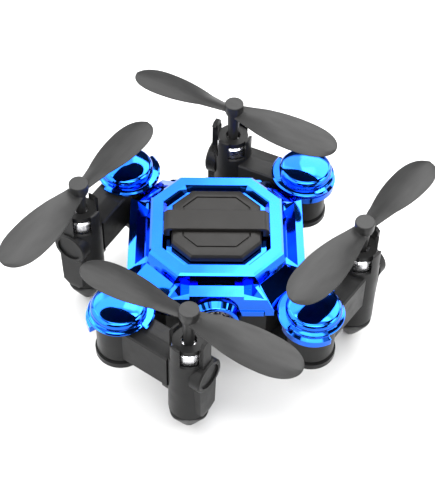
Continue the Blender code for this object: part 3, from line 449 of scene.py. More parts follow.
def blue_chrome():
    """Bright metal under clear blue lacquer, with the faint ripple that moulded and plated plastic has."""
    n = Nodes("blue_chrome")
    colour = n.ramp(n.noise(90, 2), [(0.3, (0.003, 0.104, 0.62)), (0.7, (0.005, 0.118, 0.70))])
    roughness = n.ramp(n.noise(600, 4), [(0.35, 0.05), (0.7, 0.09)])
    ripple = n.bump(n.noise(110, 1.5), 0.10, 0.0006)
    dust = n.bump(n.noise(2500, 2), 0.02, 0.00005, ripple)
    return n.finish(colour, roughness, dust, Metallic=1.0, Coat_Weight=0.22, Coat_Roughness=0.05)


def moulded(name, dark, light, rough, grain=0.10, specular=0.12):
    """Moulded plastic with a fine spark texture and faint cloudiness."""
    n = Nodes(name)
    colour = n.ramp(n.noise(120, 4), [(0.3, dark), (0.7, light)])
    roughness = n.ramp(n.noise(420, 4), [(0.3, rough - 0.05), (0.7, rough + 0.07)])
    bump = n.bump(n.noise(5200, 2), grain, 0.00006, n.bump(n.noise(160, 2), 0.05, 0.0004))
    return n.finish(colour, roughness, bump, Specular_IOR_Level=specular)


def blade_plastic():
    """Semi-gloss nylon with flow lines along the blade."""
    n = Nodes("blade_plastic")
    n.use_local()
    colour = n.ramp(n.noise(160, 3, (1, 5, 5)), [(0.3, 0.013), (0.7, 0.018)])
    roughness = n.ramp(n.noise(400, 3, (1, 4, 4)), [(0.3, 0.30), (0.7, 0.38)])
    bump = n.bump(n.noise(900, 2, (1, 6, 6)), 0.03, 0.00006)
    return n.finish(colour, roughness, bump, Specular_IOR_Level=0.18)


def steel(name, colour, rough):
    """Drawn and plated steel, with fine rings round its length."""
    n = Nodes(name)
    darker = tuple(0.8 * c for c in colour)
    shade = n.ramp(n.noise(700, 3, (1, 1, 6)), [(0.3, darker), (0.7, colour)])
    roughness = n.ramp(n.noise(1500, 3, (1, 1, 8)), [(0.3, rough - 0.06), (0.7, rough + 0.08)])
    return n.finish(shade, roughness, n.bump(n.noise(2200, 2, (1, 1, 12)), 0.06, 0.00004), Metallic=1.0)


def lens_glass():
    n = Nodes("lens_glass")
    colour = n.ramp(n.noise(260, 1), [(0.3, (0.004, 0.004, 0.008)), (0.7, (0.012, 0.008, 0.022))])
    roughness = n.ramp(n.noise(900, 3), [(0.4, 0.02), (0.8, 0.05)])
    return n.finish(colour, roughness, None, Coat_Weight=1.0, Coat_Roughness=0.02)


def solder_resist():
    """A green board with darker tracks under the resist."""
    n = Nodes("solder_resist")
    bricks = n.add("ShaderNodeTexBrick")
    bricks.inputs["Scale"].default_value = 420
    n.link(n.place, bricks.inputs["Vector"])
    tracks = bricks.outputs["Fac"]
    colour = n.ramp(tracks, [(0.2, (0.012, 0.10, 0.035)), (0.8, (0.02, 0.18, 0.06))])
    roughness = n.ramp(n.noise(500), [(0.3, 0.28), (0.7, 0.4)])
    return n.finish(colour, roughness, n.bump(tracks, 0.2, 0.00004))


def foil():
    """The crinkled foil of a pouch cell."""
    n = Nodes("foil")
    colour = n.ramp(n.noise(300, 5), [(0.3, (0.5, 0.52, 0.55)), (0.7, (0.66, 0.68, 0.7))])
    roughness = n.ramp(n.noise(240, 4), [(0.3, 0.25), (0.7, 0.42)])
    return n.finish(colour, roughness, n.bump(n.noise(350, 4), 0.3, 0.0002), Metallic=0.6)


MATERIALS = {
    "blue_chrome": blue_chrome(),
    "black_plastic": moulded("black_plastic", (0.008, 0.008, 0.008), (0.012, 0.012, 0.012), 0.34),
    "grey_plastic": moulded("grey_plastic", (0.009, 0.0085, 0.008), (0.012, 0.0115, 0.011), 0.34, 0.06),
    "blade_plastic": blade_plastic(),
    "lens_black": lens_glass(),
    "bright_steel": steel("bright_steel", (0.72, 0.72, 0.74), 0.24),
    "board_green": solder_resist(),
    "battery_wrap": foil(),
}


# The cover


def dome():
    """The top of a pivot housing: slightly crowned, with a round shoulder, and a brim round its foot."""
    shoulder, fall = DOME_RADIUS - DOME_FLAT, 1.7 * MM
    foot, edge = DOME_TOP - 2.4 * MM, DOME_TOP - DOME_CROWN
    profile = [
        (BRIM_RADIUS - 0.12 * MM, DOME_BOTTOM),
        (BRIM_RADIUS, DOME_BOTTOM + 0.15 * MM),
        (BRIM_RADIUS, DOME_BOTTOM + 0.3 * MM),
        (BRIM_RADIUS - 0.12 * MM, DOME_BOTTOM + 0.48 * MM),
        (BRIM_RADIUS - 0.35 * MM, DOME_BOTTOM + 0.58 * MM),
        (DOME_RADIUS - 0.05 * MM, foot - 0.12 * MM),
        (DOME_RADIUS - 0.15 * MM, foot + 0.05 * MM),
        (DOME_RADIUS - 0.02 * MM, foot + 0.3 * MM),
    ]
    steps = 14
    for k in range(steps):
        a = math.radians(78 * k / (steps - 1))
        height = edge - (fall - DOME_CROWN) * (1 - math.sin(a))
        profile.append((DOME_FLAT + shoulder * math.cos(a), height))
    for share in (0.95, 0.8, 0.6, 0.4, 0.2):
        profile.append((DOME_FLAT * share, DOME_TOP - DOME_CROWN * share**2 * 0.92))
    return turned(profile)


def housing_shapes(k):
    """The collar, the dome and the flare of the pivot housing at corner k."""
    inside_brim = BRIM_RADIUS - 0.45 * MM
    collar = [
        (HOUSING_INNER, SEAM),
        (BELT_RADIUS, SEAM),
        (BELT_RADIUS, BELT_TOP),
        (inside_brim, BELT_TOP + 0.3 * MM),
        (inside_brim, DOME_BOTTOM + 0.3 * MM),
        (HOUSING_INNER, DOME_BOTTOM + 0.3 * MM),
    ]
    flare = [
        (DOME_RADIUS - 0.9 * MM, DOME_BOTTOM + 0.05 * MM),
        (FLARE_RADIUS, DOME_BOTTOM + 0.05 * MM),
        (FLARE_RADIUS, DOME_BOTTOM + 0.45 * MM),
        (FLARE_RADIUS - 0.35 * MM, DOME_BOTTOM + 0.7 * MM),
        (DOME_RADIUS - 0.9 * MM, DOME_BOTTOM + 0.9 * MM),
    ]
    shapes = [swept(collar, HOUSING_FROM, HOUSING_TO), dome(), swept(flare, -85, 85)]
    return [at_corner(bm, k) for bm in shapes]


def wing(k):
    """The flat slope from one cut corner of the waist down to the belt, beside a pivot housing."""
    waist_end = WAIST_REACH - WAIST_HALF
    foot, foot_end = WAIST_HALF - 0.4 * MM, 7.6 * MM
    toe, toe_end = BODY_HALF - 0.1 * MM, 9.5 * MM
    points = []
    for x, y in ((1, 0), (0, 1)):
        for far, near, z in (
            (WAIST_HALF, waist_end, WAIST),
            (BODY_HALF, WING_TIP, BELT_TOP + 0.05 * MM),
            (BODY_HALF, WING_TIP, SEAM),
            (foot, foot_end, POCKET_FLOOR - 0.3 * MM),
            (foot, foot_end, SEAM),
            (toe, toe_end, BELT_TOP - 0.2 * MM),
            (toe, toe_end, SEAM),
        ):
            points.append((far if x else near, -far if y else -near, z))
    return moved(hull(points), 90 * k)


def fold_clearance(k):
    """The space beside a wing that a folded arm's bar needs."""
    half = BAR_WIDTH / 2 + 0.35 * MM
    bm = box((0, -half, SEAM - 0.5 * MM), (14 * MM, half, DOME_BOTTOM))
    return at_corner(moved(bm, FOLDED - 135), k)


def rail(k, top=RAIL_TOP, drop=RAIL_DROP):
    """The rail along one side, longest at its foot. Its flat top slopes outwards a little."""
    inner, knee, crest = PLATE_HALF - 2 * MM, PLATE_HALF + 2.1 * MM, BODY_HALF - RAIL_WIDTH
    slant = 1.6 * MM
    knee_half = RAIL_HALF_LENGTH - slant
    crest_half = knee_half + slant * (crest - knee) / (BODY_HALF - knee)
    points = []
    for side in (-1, 1):
        points += [(inner, side * (RAIL_HALF_LENGTH - 3 * MM), z) for z in (SEAM, top)]
        points += [(knee, side * knee_half, z) for z in (SEAM, top)]
        points.append((crest, side * crest_half, top))
        points.append((BODY_HALF, side * RAIL_HALF_LENGTH, top - drop))
        points += [(BODY_HALF, side * WING_TIP, z) for z in (SEAM, BELT_TOP)]
    return moved(hull(points), 90 * k)


def scoop(k):
    """The hollow between the plate and a rail: a steep inner wall, and a wedge that rises to the rail."""
    low, above = PLATE_TOP - 4.4 * MM, PLATE_TOP + 2 * MM
    valley, crest, wall = WAIST_HALF + 0.6 * MM, BODY_HALF - RAIL_WIDTH, PLATE_HALF + 0.1 * MM
    points = []
    for side in (-1, 1):
        points += [(valley, side * 6.2 * MM, low), (valley - 0.15 * MM, side * 6.2 * MM, low + 0.1 * MM)]
        points += [(crest, side * 9.0 * MM, z) for z in (RAIL_TOP, above)]
        points += [(wall, side * 7.4 * MM, z) for z in (PLATE_TOP - 0.4 * MM, above)]
    return moved(hull(points), 90 * k)


def nose_pocket():
    """The hollow in front of the plate. The rail in front of it is thickest beside the tab."""
    back, front, tip = -(PLATE_HALF + 0.3 * MM), -(BODY_HALF - 1.5 * MM), -(BODY_HALF - 0.15 * MM)
    half = [(7.4 * MM, back), (9.9 * MM, tip), (TAB_HALF - 0.1 * MM, front)]
    return prism(half + [(-x, y) for x, y in reversed(half)], POCKET_FLOOR, PLATE_TOP - 0.25 * MM)


def cover_hollow():
    """The inside of the cover, which narrows towards the plate."""
    hollow = BODY_HALF - 2.4 * MM
    return loft(
        [
            reach_ring(hollow, WAIST_REACH, SEAM - 1 * MM),
            reach_ring(hollow, WAIST_REACH, PLATE_TOP - 6.6 * MM),
            reach_ring(PLATE_HALF - 1.4 * MM, PLATE_REACH - 2 * MM, PLATE_TOP - RECESS_DEPTH - 1.2 * MM),
        ]
    )


def cover_corner(k):
    """A wing with its pivot housing, as a piece of its own that runs into the rest of the cover."""
    steps = [("DIFFERENCE", [fold_clearance(k)]), ("UNION", housing_shapes(k))]
    mesh = soften(carved(f"top_cover_corner_{k}", wing(k), steps), **COVER_EDGES)
    put(f"top_cover_corner_{k}", mesh, "blue_chrome", "airframe", "top_cover")


def top_cover():
    """The middle of the cover: plate, belt, rails and tab, with the recess for the badge cut in."""
    outside = loft(
        [
            reach_ring(WAIST_HALF + 1.3 * MM, WAIST_REACH + 1.5 * MM, SEAM),
            reach_ring(WAIST_HALF, WAIST_REACH, WAIST),
            reach_ring(PLATE_HALF + 0.1 * MM, PLATE_REACH + 0.5 * MM, PLATE_TOP - 0.4 * MM),
            reach_ring(PLATE_HALF - PLATE_EDGE, PLATE_REACH - PLATE_EDGE, PLATE_TOP),
        ]
    )
    belt = loft([octagon(BELT_HALF, BELT_CORNER, z) for z in (SEAM, BELT_TOP)])
    recess = loft(
        [
            octagon(RECESS_HALF - 0.9 * MM, RECESS_CORNER - 0.35 * MM, PLATE_TOP - RECESS_DEPTH),
            octagon(RECESS_HALF, RECESS_CORNER, PLATE_TOP),
            octagon(RECESS_HALF, RECESS_CORNER, PLATE_TOP + 1 * MM),
        ]
    )
    notch_half, seat_half = BAND_REACH + 0.06 * MM, BAND_HALF_WIDTH + 0.06 * MM
    notch_floor = PLATE_TOP - RECESS_DEPTH + GAP
    notch = box((-notch_half, -seat_half, notch_floor), (notch_half, seat_half, PLATE_TOP + 1 * MM))
    tab = box((-TAB_HALF, -BODY_HALF, POCKET_FLOOR - 0.3 * MM), (TAB_HALF, TAB_BACK, TAB_TOP))
    nose_rail = rail(3, WAIST, 0.1 * MM)
    steps = [("UNION", [belt, rail(0), rail(2), nose_rail])]
    steps += [("DIFFERENCE", [nose_pocket()] + [scoop(k) for k in (0, 2)])]
    steps += [("DIFFERENCE", [fold_clearance(k) for k in range(4)])]
    steps += [("DIFFERENCE", [recess, cover_hollow()]), ("UNION", [tab])]
    steps += [("DIFFERENCE", [notch, barrel(CAMERA_RADIUS + GAP, -10 * MM, -25 * MM)])]
    mesh = soften(carved("top_cover_shell", outside, steps), **COVER_EDGES)
    put("top_cover_shell", mesh, "blue_chrome", "airframe", "top_cover")


def shell_ears():
    """The ears that hold the arms from below."""
    ear_top = BODY_BOTTOM + EAR_THICKNESS
    ears = []
    for k in range(4):
        ears.append(at_corner(cylinder(EAR_RADIUS, BODY_BOTTOM, ear_top), k))
        low, high = (0, -EAR_HALF_WIDTH, BODY_BOTTOM), (EAR_LENGTH, EAR_HALF_WIDTH, ear_top)
        ears.append(at_corner(box(low, high), k))
    return ears


def pin_holes():
    """Each pin's hole, with a recess for its head."""
    holes = []
    for k in range(4):
        holes.append(at_corner(cylinder(PIN_RADIUS + GAP, BELOW_BODY, SEAM, FEW_SIDES), k))
        head = cylinder(PIN_HEAD_RADIUS, BELOW_BODY, BODY_BOTTOM + PIN_HEAD_DEPTH, FEW_SIDES)
        holes.append(at_corner(head, k))
    return holes


def shell_openings(floor):
    """The openings for the camera in front, the charging socket behind and the button below."""
    low, high = (-SOCKET_HALF, 10 * MM, SOCKET_BOTTOM), (SOCKET_HALF, 25 * MM, SOCKET_TOP)
    return [
        barrel(CAMERA_RADIUS + GAP, -12 * MM, -25 * MM),
        box(low, high),
        cylinder(BUTTON_HOLE_RADIUS, BELOW_BODY, floor + 1 * MM, FEW_SIDES),
    ]


def vents():
    """Shallow grooves across the underside."""
    made = []
    for k in range(VENTS):
        y = (-2 + k) * VENT_PITCH + VENT_MIDDLE
        low = (-VENT_HALF_LENGTH, y - VENT_HALF_WIDTH, BELOW_BODY)
        high = (VENT_HALF_LENGTH, y + VENT_HALF_WIDTH, BODY_BOTTOM + VENT_DEPTH)
        made.append(box(low, high))
    return made


def lower_shell():
    """The black tub under the cover, with its ears, screw posts and openings."""
    top, half, corner = SEAM - GAP, SHELL_HALF, SHELL_CORNER
    outside = loft(
        [
            octagon(half - SHELL_CHAMFER, corner, BODY_BOTTOM),
            octagon(half, corner, BODY_BOTTOM + 1.6 * MM),
            octagon(half, corner, top),
        ]
    )
    inner, floor = half - SHELL_WALL, BODY_BOTTOM + SHELL_WALL
    inside = loft(
        [
            octagon(inner - 1.2 * MM, corner - 0.6 * MM, floor),
            octagon(inner, corner - 0.6 * MM, floor + 1.4 * MM),
            octagon(inner, corner - 0.6 * MM, top + 1 * MM),
        ]
    )
    posts, holes = [], pin_holes()
    for x in (-SCREW_PLACE, SCREW_PLACE):
        for y in (-SCREW_PLACE, SCREW_PLACE):
            posts.append(cylinder(POST_RADIUS, floor - 0.5 * MM, top, FEW_SIDES, (x, y)))
            head_seat = BODY_BOTTOM + SCREW_HEAD_DEPTH
            holes.append(cylinder(SCREW_HEAD_RADIUS, BELOW_BODY, head_seat, FEW_SIDES, (x, y)))
            holes.append(cylinder(SCREW_RADIUS, BELOW_BODY, SEAM + 1 * MM, FEW_SIDES, (x, y)))
    holes += shell_openings(floor) + vents()
    steps = [("DIFFERENCE", [inside]), ("UNION", shell_ears() + posts), ("DIFFERENCE", holes)]
    mesh = soften(carved("lower_shell_tub", outside, steps), 0.16 * MM)
    put("lower_shell_tub", mesh, "black_plastic", "airframe", "lower_shell")


# The badge


def badge_plate():
    """The plate in the recess, with an octagonal groove and a seat for the band."""
    outside = loft(
        [
            octagon(BADGE_HALF, BADGE_CORNER, PLATE_TOP - RECESS_DEPTH + GAP),
            octagon(BADGE_HALF, BADGE_CORNER, BADGE_TOP - 0.9 * MM),
            octagon(BADGE_HALF - 0.35 * MM, BADGE_CORNER - 0.1 * MM, BADGE_TOP - 0.35 * MM),
            octagon(BADGE_HALF - 1.6 * MM, BADGE_CORNER - 0.6 * MM, BADGE_TOP),
        ]
    )
    groove_heights = BADGE_TOP - 0.35 * MM, BADGE_TOP + 1 * MM
    groove = loft([octagon(GROOVE_HALF, GROOVE_CORNER, z) for z in groove_heights])
    island_half, island_corner = GROOVE_HALF - GROOVE_WIDTH, GROOVE_CORNER - 0.6 * GROOVE_WIDTH
    island_heights = BADGE_TOP - 0.5 * MM, BADGE_TOP - 0.02 * MM
    island = loft([octagon(island_half, island_corner, z) for z in island_heights])
    seat_half, above = BAND_HALF_WIDTH + GAP, BADGE_TOP + 2 * MM
    seat = box((-15 * MM, -seat_half, BADGE_TOP - 0.35 * MM), (15 * MM, seat_half, above))
    steps = [("DIFFERENCE", [groove]), ("UNION", [island]), ("DIFFERENCE", [seat])]
    mesh = soften(carved("badge_plate_face", outside, steps), 0.07 * MM, 20)
    put("badge_plate_face", mesh, "grey_plastic", "airframe", "badge_plate")


def badge_band():
    """The band across the badge, turned down at both ends."""
    under, foot, inner = BADGE_TOP - 0.05 * MM, PLATE_TOP - 0.9 * MM, BADGE_HALF + GAP
    bend, steps = 1.5 * MM, 8
    half = [(inner, under), (inner, foot), (BAND_REACH - 0.2 * MM, foot)]
    for k in range(steps + 1):
        a = math.radians(90 * k / steps)
        half.append((BAND_REACH - bend + bend * math.cos(a), BAND_TOP - bend + bend * math.sin(a)))
    outline = half + [(-x, z) for x, z in reversed(half)]
    bar = extruded([Vector((x, -BAND_HALF_WIDTH, z)) for x, z in outline], (0, 2 * BAND_HALF_WIDTH, 0))
    mesh = soften(carved("badge_band_strap", bar, []), 0.16 * MM, 30, 3)
    put("badge_band_strap", mesh, "grey_plastic", "airframe", "badge_band")


# The camera in the nose


def nose_camera():
    """The chrome ring and the stepped, domed lens, each turned about Z and then laid down."""
    depth = -CAMERA_NOSE
    ring_profile = [
        (CAMERA_BORE - 0.5 * MM, -CAMERA_REAR),
        (CAMERA_RADIUS, -CAMERA_REAR),
        (CAMERA_RADIUS, depth - 1.9 * MM),
        (CAMERA_RADIUS + 0.2 * MM, depth - 1.75 * MM),
        (CAMERA_RADIUS - 0.35 * MM, depth - 0.5 * MM),
        (CAMERA_RADIUS - 0.45 * MM, depth - 0.38 * MM),
        (CAMERA_RADIUS - 0.22 * MM, depth - 0.3 * MM),
        (CAMERA_RADIUS - 0.25 * MM, depth - 0.1 * MM),
        (CAMERA_RADIUS - 0.5 * MM, depth),
        (CAMERA_BORE, depth),
        (CAMERA_BORE - 0.15 * MM, depth - 0.1 * MM),
        (CAMERA_BORE - 0.5 * MM, depth - 1.4 * MM),
    ]
    bm = spun(ring_profile, 360, SIDES, closed=True)
    bmesh.ops.recalc_face_normals(bm, faces=bm.faces)
    mesh = soften(carved("camera_bezel", along_y(bm, CAMERA_HEIGHT), []), 0.03 * MM, 60, 1)
    put("camera_bezel", mesh, "blue_chrome", "airframe", "camera_ring")

    radius, front = CAMERA_BORE - 0.5 * MM - GAP, depth - 0.9 * MM
    profile = [
        (radius, -CAMERA_REAR),
        (radius, front - 0.6 * MM),
        (radius * 0.93, front - 0.5 * MM),
        (radius * 0.86, front - 0.75 * MM),
        (radius * 0.7, front - 0.8 * MM),
        (radius * 0.62, front - 0.95 * MM),
    ]
    for angle in range(8, 89, 10):
        a = math.radians(angle)
        profile.append((radius * 0.55 * math.cos(a), front - 0.9 * MM + 0.7 * MM * math.sin(a)))
    mesh = soften(carved("lens", along_y(turned(profile), CAMERA_HEIGHT), []), 0.04 * MM, 40, 1)
    put("lens", mesh, "lens_black", "airframe", "camera_lens")


# Arms


def crowned_bar():
    """The bar from the knuckle to the pod, with a ridged top."""
    half, edge = BAR_WIDTH / 2, 0.35 * MM
    right = [(half - edge, BAR_BOTTOM), (half, BAR_BOTTOM + edge)]
    right += [(half, BAR_TOP - edge), (half - edge, BAR_TOP)]
    section = right + [(0, BAR_TOP + BAR_CROWN)] + [(-y, z) for y, z in reversed(right)]
    start, end = KNUCKLE_RADIUS * 0.6, ARM_LENGTH - POD_RADIUS * 0.7
    return extruded([Vector((start, y, z)) for y, z in section], (end - start, 0, 0))


def gusset():
    """The web under the bar where it meets the pod."""
    middle = ARM_LENGTH - POD_RADIUS + 0.4 * MM
    rings = [
        octagon(1.3 * MM, 0.3 * MM, PLATE_TOP - 19.6 * MM, (middle + 0.3 * MM, 0)),
        octagon(1.9 * MM, 0.3 * MM, PLATE_TOP - 18.4 * MM, (middle, 0)),
        octagon(1.9 * MM, 0.3 * MM, BAR_BOTTOM + 1 * MM, (middle, 0)),
    ]
    return loft(rings)


def upstand():
    """The tongue that stands up from the far side of the pod, beside the propeller."""
    far_side = ARM_LENGTH + POD_RADIUS
    inner, outer = far_side - 0.6 * MM, far_side + 0.3 * MM
    rings = []
    for w, z in ((1.5 * MM, PLATE_TOP - 6 * MM), (1.5 * MM, UPSTAND_TOP - 0.7 * MM), (0.8 * MM, UPSTAND_TOP)):
        rings.append([Vector((x, y, z)) for x, y in ((inner, -w), (outer, -w), (outer, w), (inner, w))])
    return loft(rings)


def pod_panel():
    """The flat panel that runs down from the lug and ends in a clip below the pod's rim."""
    outer = ARM_LENGTH + POD_RADIUS + 0.5 * MM
    points = []
    for side in (-1, 1):
        for half, z in ((PANEL_HALF, LUG_HEIGHT), (PANEL_HALF - 0.4 * MM, POD_BOTTOM + 2 * MM)):
            points += [(outer, side * half, z), (outer - 2.2 * MM, side * half, z)]
        points.append((outer - 0.3 * MM, side * 1.2 * MM, POD_BOTTOM + GAP))
        points.append((outer - 2.0 * MM, side * 1.2 * MM, POD_BOTTOM + GAP))
    return hull(points)


def arm_mesh():
    """Knuckle, bar and pod, along +X from the hinge axis."""
    centre, rim = (ARM_LENGTH, 0), 0.22 * MM
    pod = [(POD_RADIUS, POD_BOTTOM), (POD_RADIUS, POD_TOP - rim)]
    pod += [(POD_RADIUS - rim * 0.4, POD_TOP - rim * 0.3), (POD_RADIUS - rim, POD_TOP)]
    knuckle = turned(
        [
            (KNUCKLE_RADIUS - 0.3 * MM, KNUCKLE_BOTTOM),
            (KNUCKLE_RADIUS, KNUCKLE_BOTTOM + 0.3 * MM),
            (KNUCKLE_RADIUS, KNUCKLE_TOP - 0.25 * MM),
            (KNUCKLE_RADIUS - 0.25 * MM, KNUCKLE_TOP),
        ]
    )
    far_side = ARM_LENGTH + POD_RADIUS
    depth = LUG_PROUD + 1.6 * MM
    lug = turned([(LUG_RADIUS, 0), (LUG_RADIUS, depth - 0.3 * MM), (LUG_RADIUS - 0.3 * MM, depth)])
    lug = along_x(lug, (far_side - 1.6 * MM, 0, LUG_HEIGHT))
    dish_floor = far_side + LUG_PROUD - 0.45 * MM
    dish = along_x(cylinder(LUG_RADIUS - 1.0 * MM, 0, 3 * MM), (dish_floor, 0, LUG_HEIGHT))
    cuts = [
        cylinder(POD_RADIUS - POD_WALL, POD_BOTTOM - 1 * MM, UPSTAND_TOP + 1 * MM, SIDES, centre),
        cylinder(PIN_RADIUS + 0.2 * MM, KNUCKLE_BOTTOM - 1 * MM, KNUCKLE_TOP + 1 * MM, FEW_SIDES),
        dish,
    ]
    half = WINDOW_WIDTH / 2
    for k in range(4):
        window = box((0, -half, WINDOW_SILL), (POD_RADIUS + 0.25 * MM, half, POD_TOP + 1 * MM))
        cuts.append(moved(window, POD_TURN + 90 * k, (*centre, 0)))
    joined = [crowned_bar(), knuckle, gusset(), upstand(), pod_panel(), lug]
    steps = [("UNION", joined), ("DIFFERENCE", cuts)]
    return soften(carved("arm_moulding", turned(pod, SIDES, centre), steps), 0.12 * MM)


def foot_mesh():
    """The cap that closes the pod below and tapers to a small flat tip."""
    top, plug = POD_BOTTOM - GAP, POD_RADIUS - POD_WALL - GAP
    rings = [rounded_ring(half_x, half_y, GROUND + z, 3) for half_x, half_y, z in reversed(FOOT_SHAPE)]
    rings += [rounded_ring(POD_RADIUS, POD_RADIUS, top, 2)]
    rings += [rounded_ring(plug, plug, z, 2) for z in (top + 0.01 * MM, top + 0.9 * MM)]
    return soften(carved("foot_cap", loft(rings), []), 0.1 * MM, 24)


# Propellers


def chord_at(share):
    """The blade's width at a share of its length."""
    widest = 0.62
    rise = min(share / widest, 1)
    width = ROOT_CHORD + (CHORD - ROOT_CHORD) * math.sin(rise * math.pi / 2) ** 1.15
    beyond = max(0.0, (share - widest) / (1 - widest))
    return width * math.sqrt(max(0.0, 1 - beyond**2.7))


def blade(turning, level, stations=44, across=14):
    """One cambered, twisted blade along +X, mirrored in Y for the other way of turning."""
    start = CAP_RADIUS * 0.45
    rings = []
    for i in range(stations):
        share = math.sin(i / (stations - 1) * math.pi / 2) * 0.9985
        r = start + (PROP_RADIUS - start) * share
        chord = max(chord_at(share), 0.35 * MM)
        twist = math.atan(BLADE_PITCH / (2 * math.pi * max(r, 7.0 * MM)))
        upper, lower = [], []
        for j in range(across + 1):
            u = -0.5 * math.cos(math.pi * j / across)
            thick = BLADE_THICKNESS * (0.3 + 0.7 * math.cos(u * math.pi))
            camber = 0.035 * chord * math.cos(u * math.pi)
            for side, line in ((1, upper), (-1, lower)):
                y, z = u * chord, camber + side * thick / 2
                across_blade = turning * (y * math.cos(twist) - z * math.sin(twist))
                line.append(Vector((r, across_blade, level + y * math.sin(twist) + z * math.cos(twist))))
        rings.append(upper + lower[::-1])
    return loft(rings)


def propeller_mesh(cap_top, turning):
    level, cap_bottom = cap_top - BLADE_BELOW_CAP, cap_top - CAP_HEIGHT
    profile = [
        (1.05 * MM, STEM_BOTTOM),
        (1.45 * MM, cap_bottom - 0.8 * MM),
        (NECK_RADIUS, cap_bottom - 0.6 * MM),
        (NECK_RADIUS, cap_bottom),
        (CAP_RADIUS, cap_bottom + 0.15 * MM),
        (CAP_RADIUS, cap_top - 0.25 * MM),
        (CAP_RADIUS - 0.07 * MM, cap_top - 0.08 * MM),
        (CAP_RADIUS - 0.22 * MM, cap_top),
    ]
    bore = cylinder(SHAFT_RADIUS + GAP, STEM_BOTTOM - 1 * MM, cap_top - 1.5 * MM, FEW_SIDES)
    blades = [moved(blade(turning, level), angle) for angle in (0, 180)]
    steps = [("UNION", blades), ("DIFFERENCE", [bore])]
    return soften(carved("propeller_blades", turned(profile, 48), steps), 0.05 * MM, 50, 2, 40)


def add_arms():
    """Each arm with its foot on the arm's body, and its propeller on the rotor's."""
    arm, foot = arm_mesh(), foot_mesh()
    props = {}
    for name, (line, turning) in PROPELLERS.items():
        place, body = arm_matrix(name), f"{name}_arm"
        hub = place @ Matrix.Translation((ARM_LENGTH, 0, 0))
        put(f"arm_moulding_{name}", arm, "black_plastic", body, f"arm_{name}", place)
        turn = Matrix.Rotation(math.radians(POD_TURN), 4, "Z")
        put(f"foot_cap_{name}", foot, "black_plastic", body, f"foot_{name}", hub @ turn)
        cap_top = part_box(f"propeller_{name}")[1][2]
        if turning not in props:
            props[turning] = propeller_mesh(cap_top, turning)
        spin = Matrix.Translation((hub.translation.x, hub.translation.y, 0))
        spin = spin @ Matrix.Rotation(math.radians(line), 4, "Z")
        rotor, node = f"{name}_rotor", f"propeller_{name}"
        put(f"propeller_blades_{name}", props[turning], "blade_plastic", rotor, node, spin)


def dress_frame():
    """The CAD solids that stay get the material of their slot."""
    slots = {part["node"]: part["material_slot"] for part in frame["record"]["subparts"]}
    for name, obj in frame["nodes"].items():
        material = MATERIALS[slots[name]]
        if not obj.material_slots:
            obj.data.materials.append(material)
        for material_slot in obj.material_slots:
            material_slot.material = material


# The studio


def floor():
    """A plain floor just under the feet."""
    bm = bmesh.new()
    bmesh.ops.create_grid(bm, x_segments=1, y_segments=1, size=1.2)
    bmesh.ops.translate(bm, vec=(0, 0, GROUND - 0.05 * MM), verts=bm.verts)
    obj = mesh_object("studio_floor", bm)
    n = Nodes("studio_floor")
    colour = n.ramp(n.noise(3, 2), [(0.3, 0.49), (0.7, 0.51)])
    roughness = n.ramp(n.noise(40), [(0.3, 0.6), (0.7, 0.7)])
    obj.data.materials.append(n.finish(colour, roughness))


def area_light(name, place, side, power):
    """A square white softbox that points at the origin, on the ground under the model."""
    data = bpy.data.lights.new(name, "AREA")
    data.shape = "RECTANGLE"
    data.size, data.size_y = side, side
    data.energy = power
    obj = bpy.data.objects.new(name, data)
    bpy.context.scene.collection.objects.link(obj)
    obj.location = place
    obj.rotation_euler = (-Vector(place)).to_track_quat("-Z", "Y").to_euler()


# Cards of light far away: the x, y and z that a direction may have (None is any), and the brightness
CARDS = (
    ((-0.62, 0.62), (0.2, None), (0.54, 0.86), 3.4),  # a bank behind, seen in the top plate
    ((0.02, 0.62), (0.2, None), (0.54, 0.86), 4.0),
    ((-0.60, -0.25), (0.2, None), (0.54, 0.70), 3.0),
    ((-0.5, 0.5), (0.26, 0.42), (0.88, None), 14.0),  # a strip above it, seen in the edges
    ((None, -0.50), (-0.75, 0.45), (-0.3, 0.80), 3.8),  # one on the left
    ((0.72, None), (-0.75, 0.45), (-0.3, 0.32), 4.2),  # and a low one on the right
    ((-0.35, 0.35), (-0.45, -0.05), (0.85, None), 5.0),  # one above the nose
    ((-0.5, 0.5), (-0.78, -0.55), (0.60, 0.85), 10.0),  # narrow ones, seen in the plate's bevelled edges
    ((0.70, 0.95), (-0.35, 0.05), (0.40, 0.70), 9.0),
    ((0.62, 0.85), (0.4, None), (0.0, 0.2), 5.0),
    ((-0.85, -0.62), (0.4, None), (0.0, 0.2), 2.5),
    ((0.02, 0.2), (0.2, None), (0.765, 0.86), 5.0),
    ((0.08, 0.45), (None, -0.6), (0.05, 0.35), 0.9),
    ((0.35, 0.60), (0.3, None), (0.2, 0.52), 1.1),
    ((0.62, 0.80), (0.3, None), (0.2, 0.52), 6.0),
    ((-0.60, -0.35), (0.3, None), (0.2, 0.52), 1.1),
    ((-0.80, -0.62), (0.3, None), (0.2, 0.52), 5.0),
)
CARD_EDGE, DIM = 0.03, 0.05  # half the width of a card's soft edge, and the light between the cards

# The camera: degrees from straight ahead and above level, and the turn of the picture
AZIMUTH, ELEVATION, ROLL = -1.2, 48.83, 1.4
VIEW_DISTANCE, VIEW_TARGET = 290.2 * MM, (0.195 * MM, -6.654 * MM, PLATE_TOP)
FOCAL_LENGTH, SENSOR_WIDTH = 100.8, 36


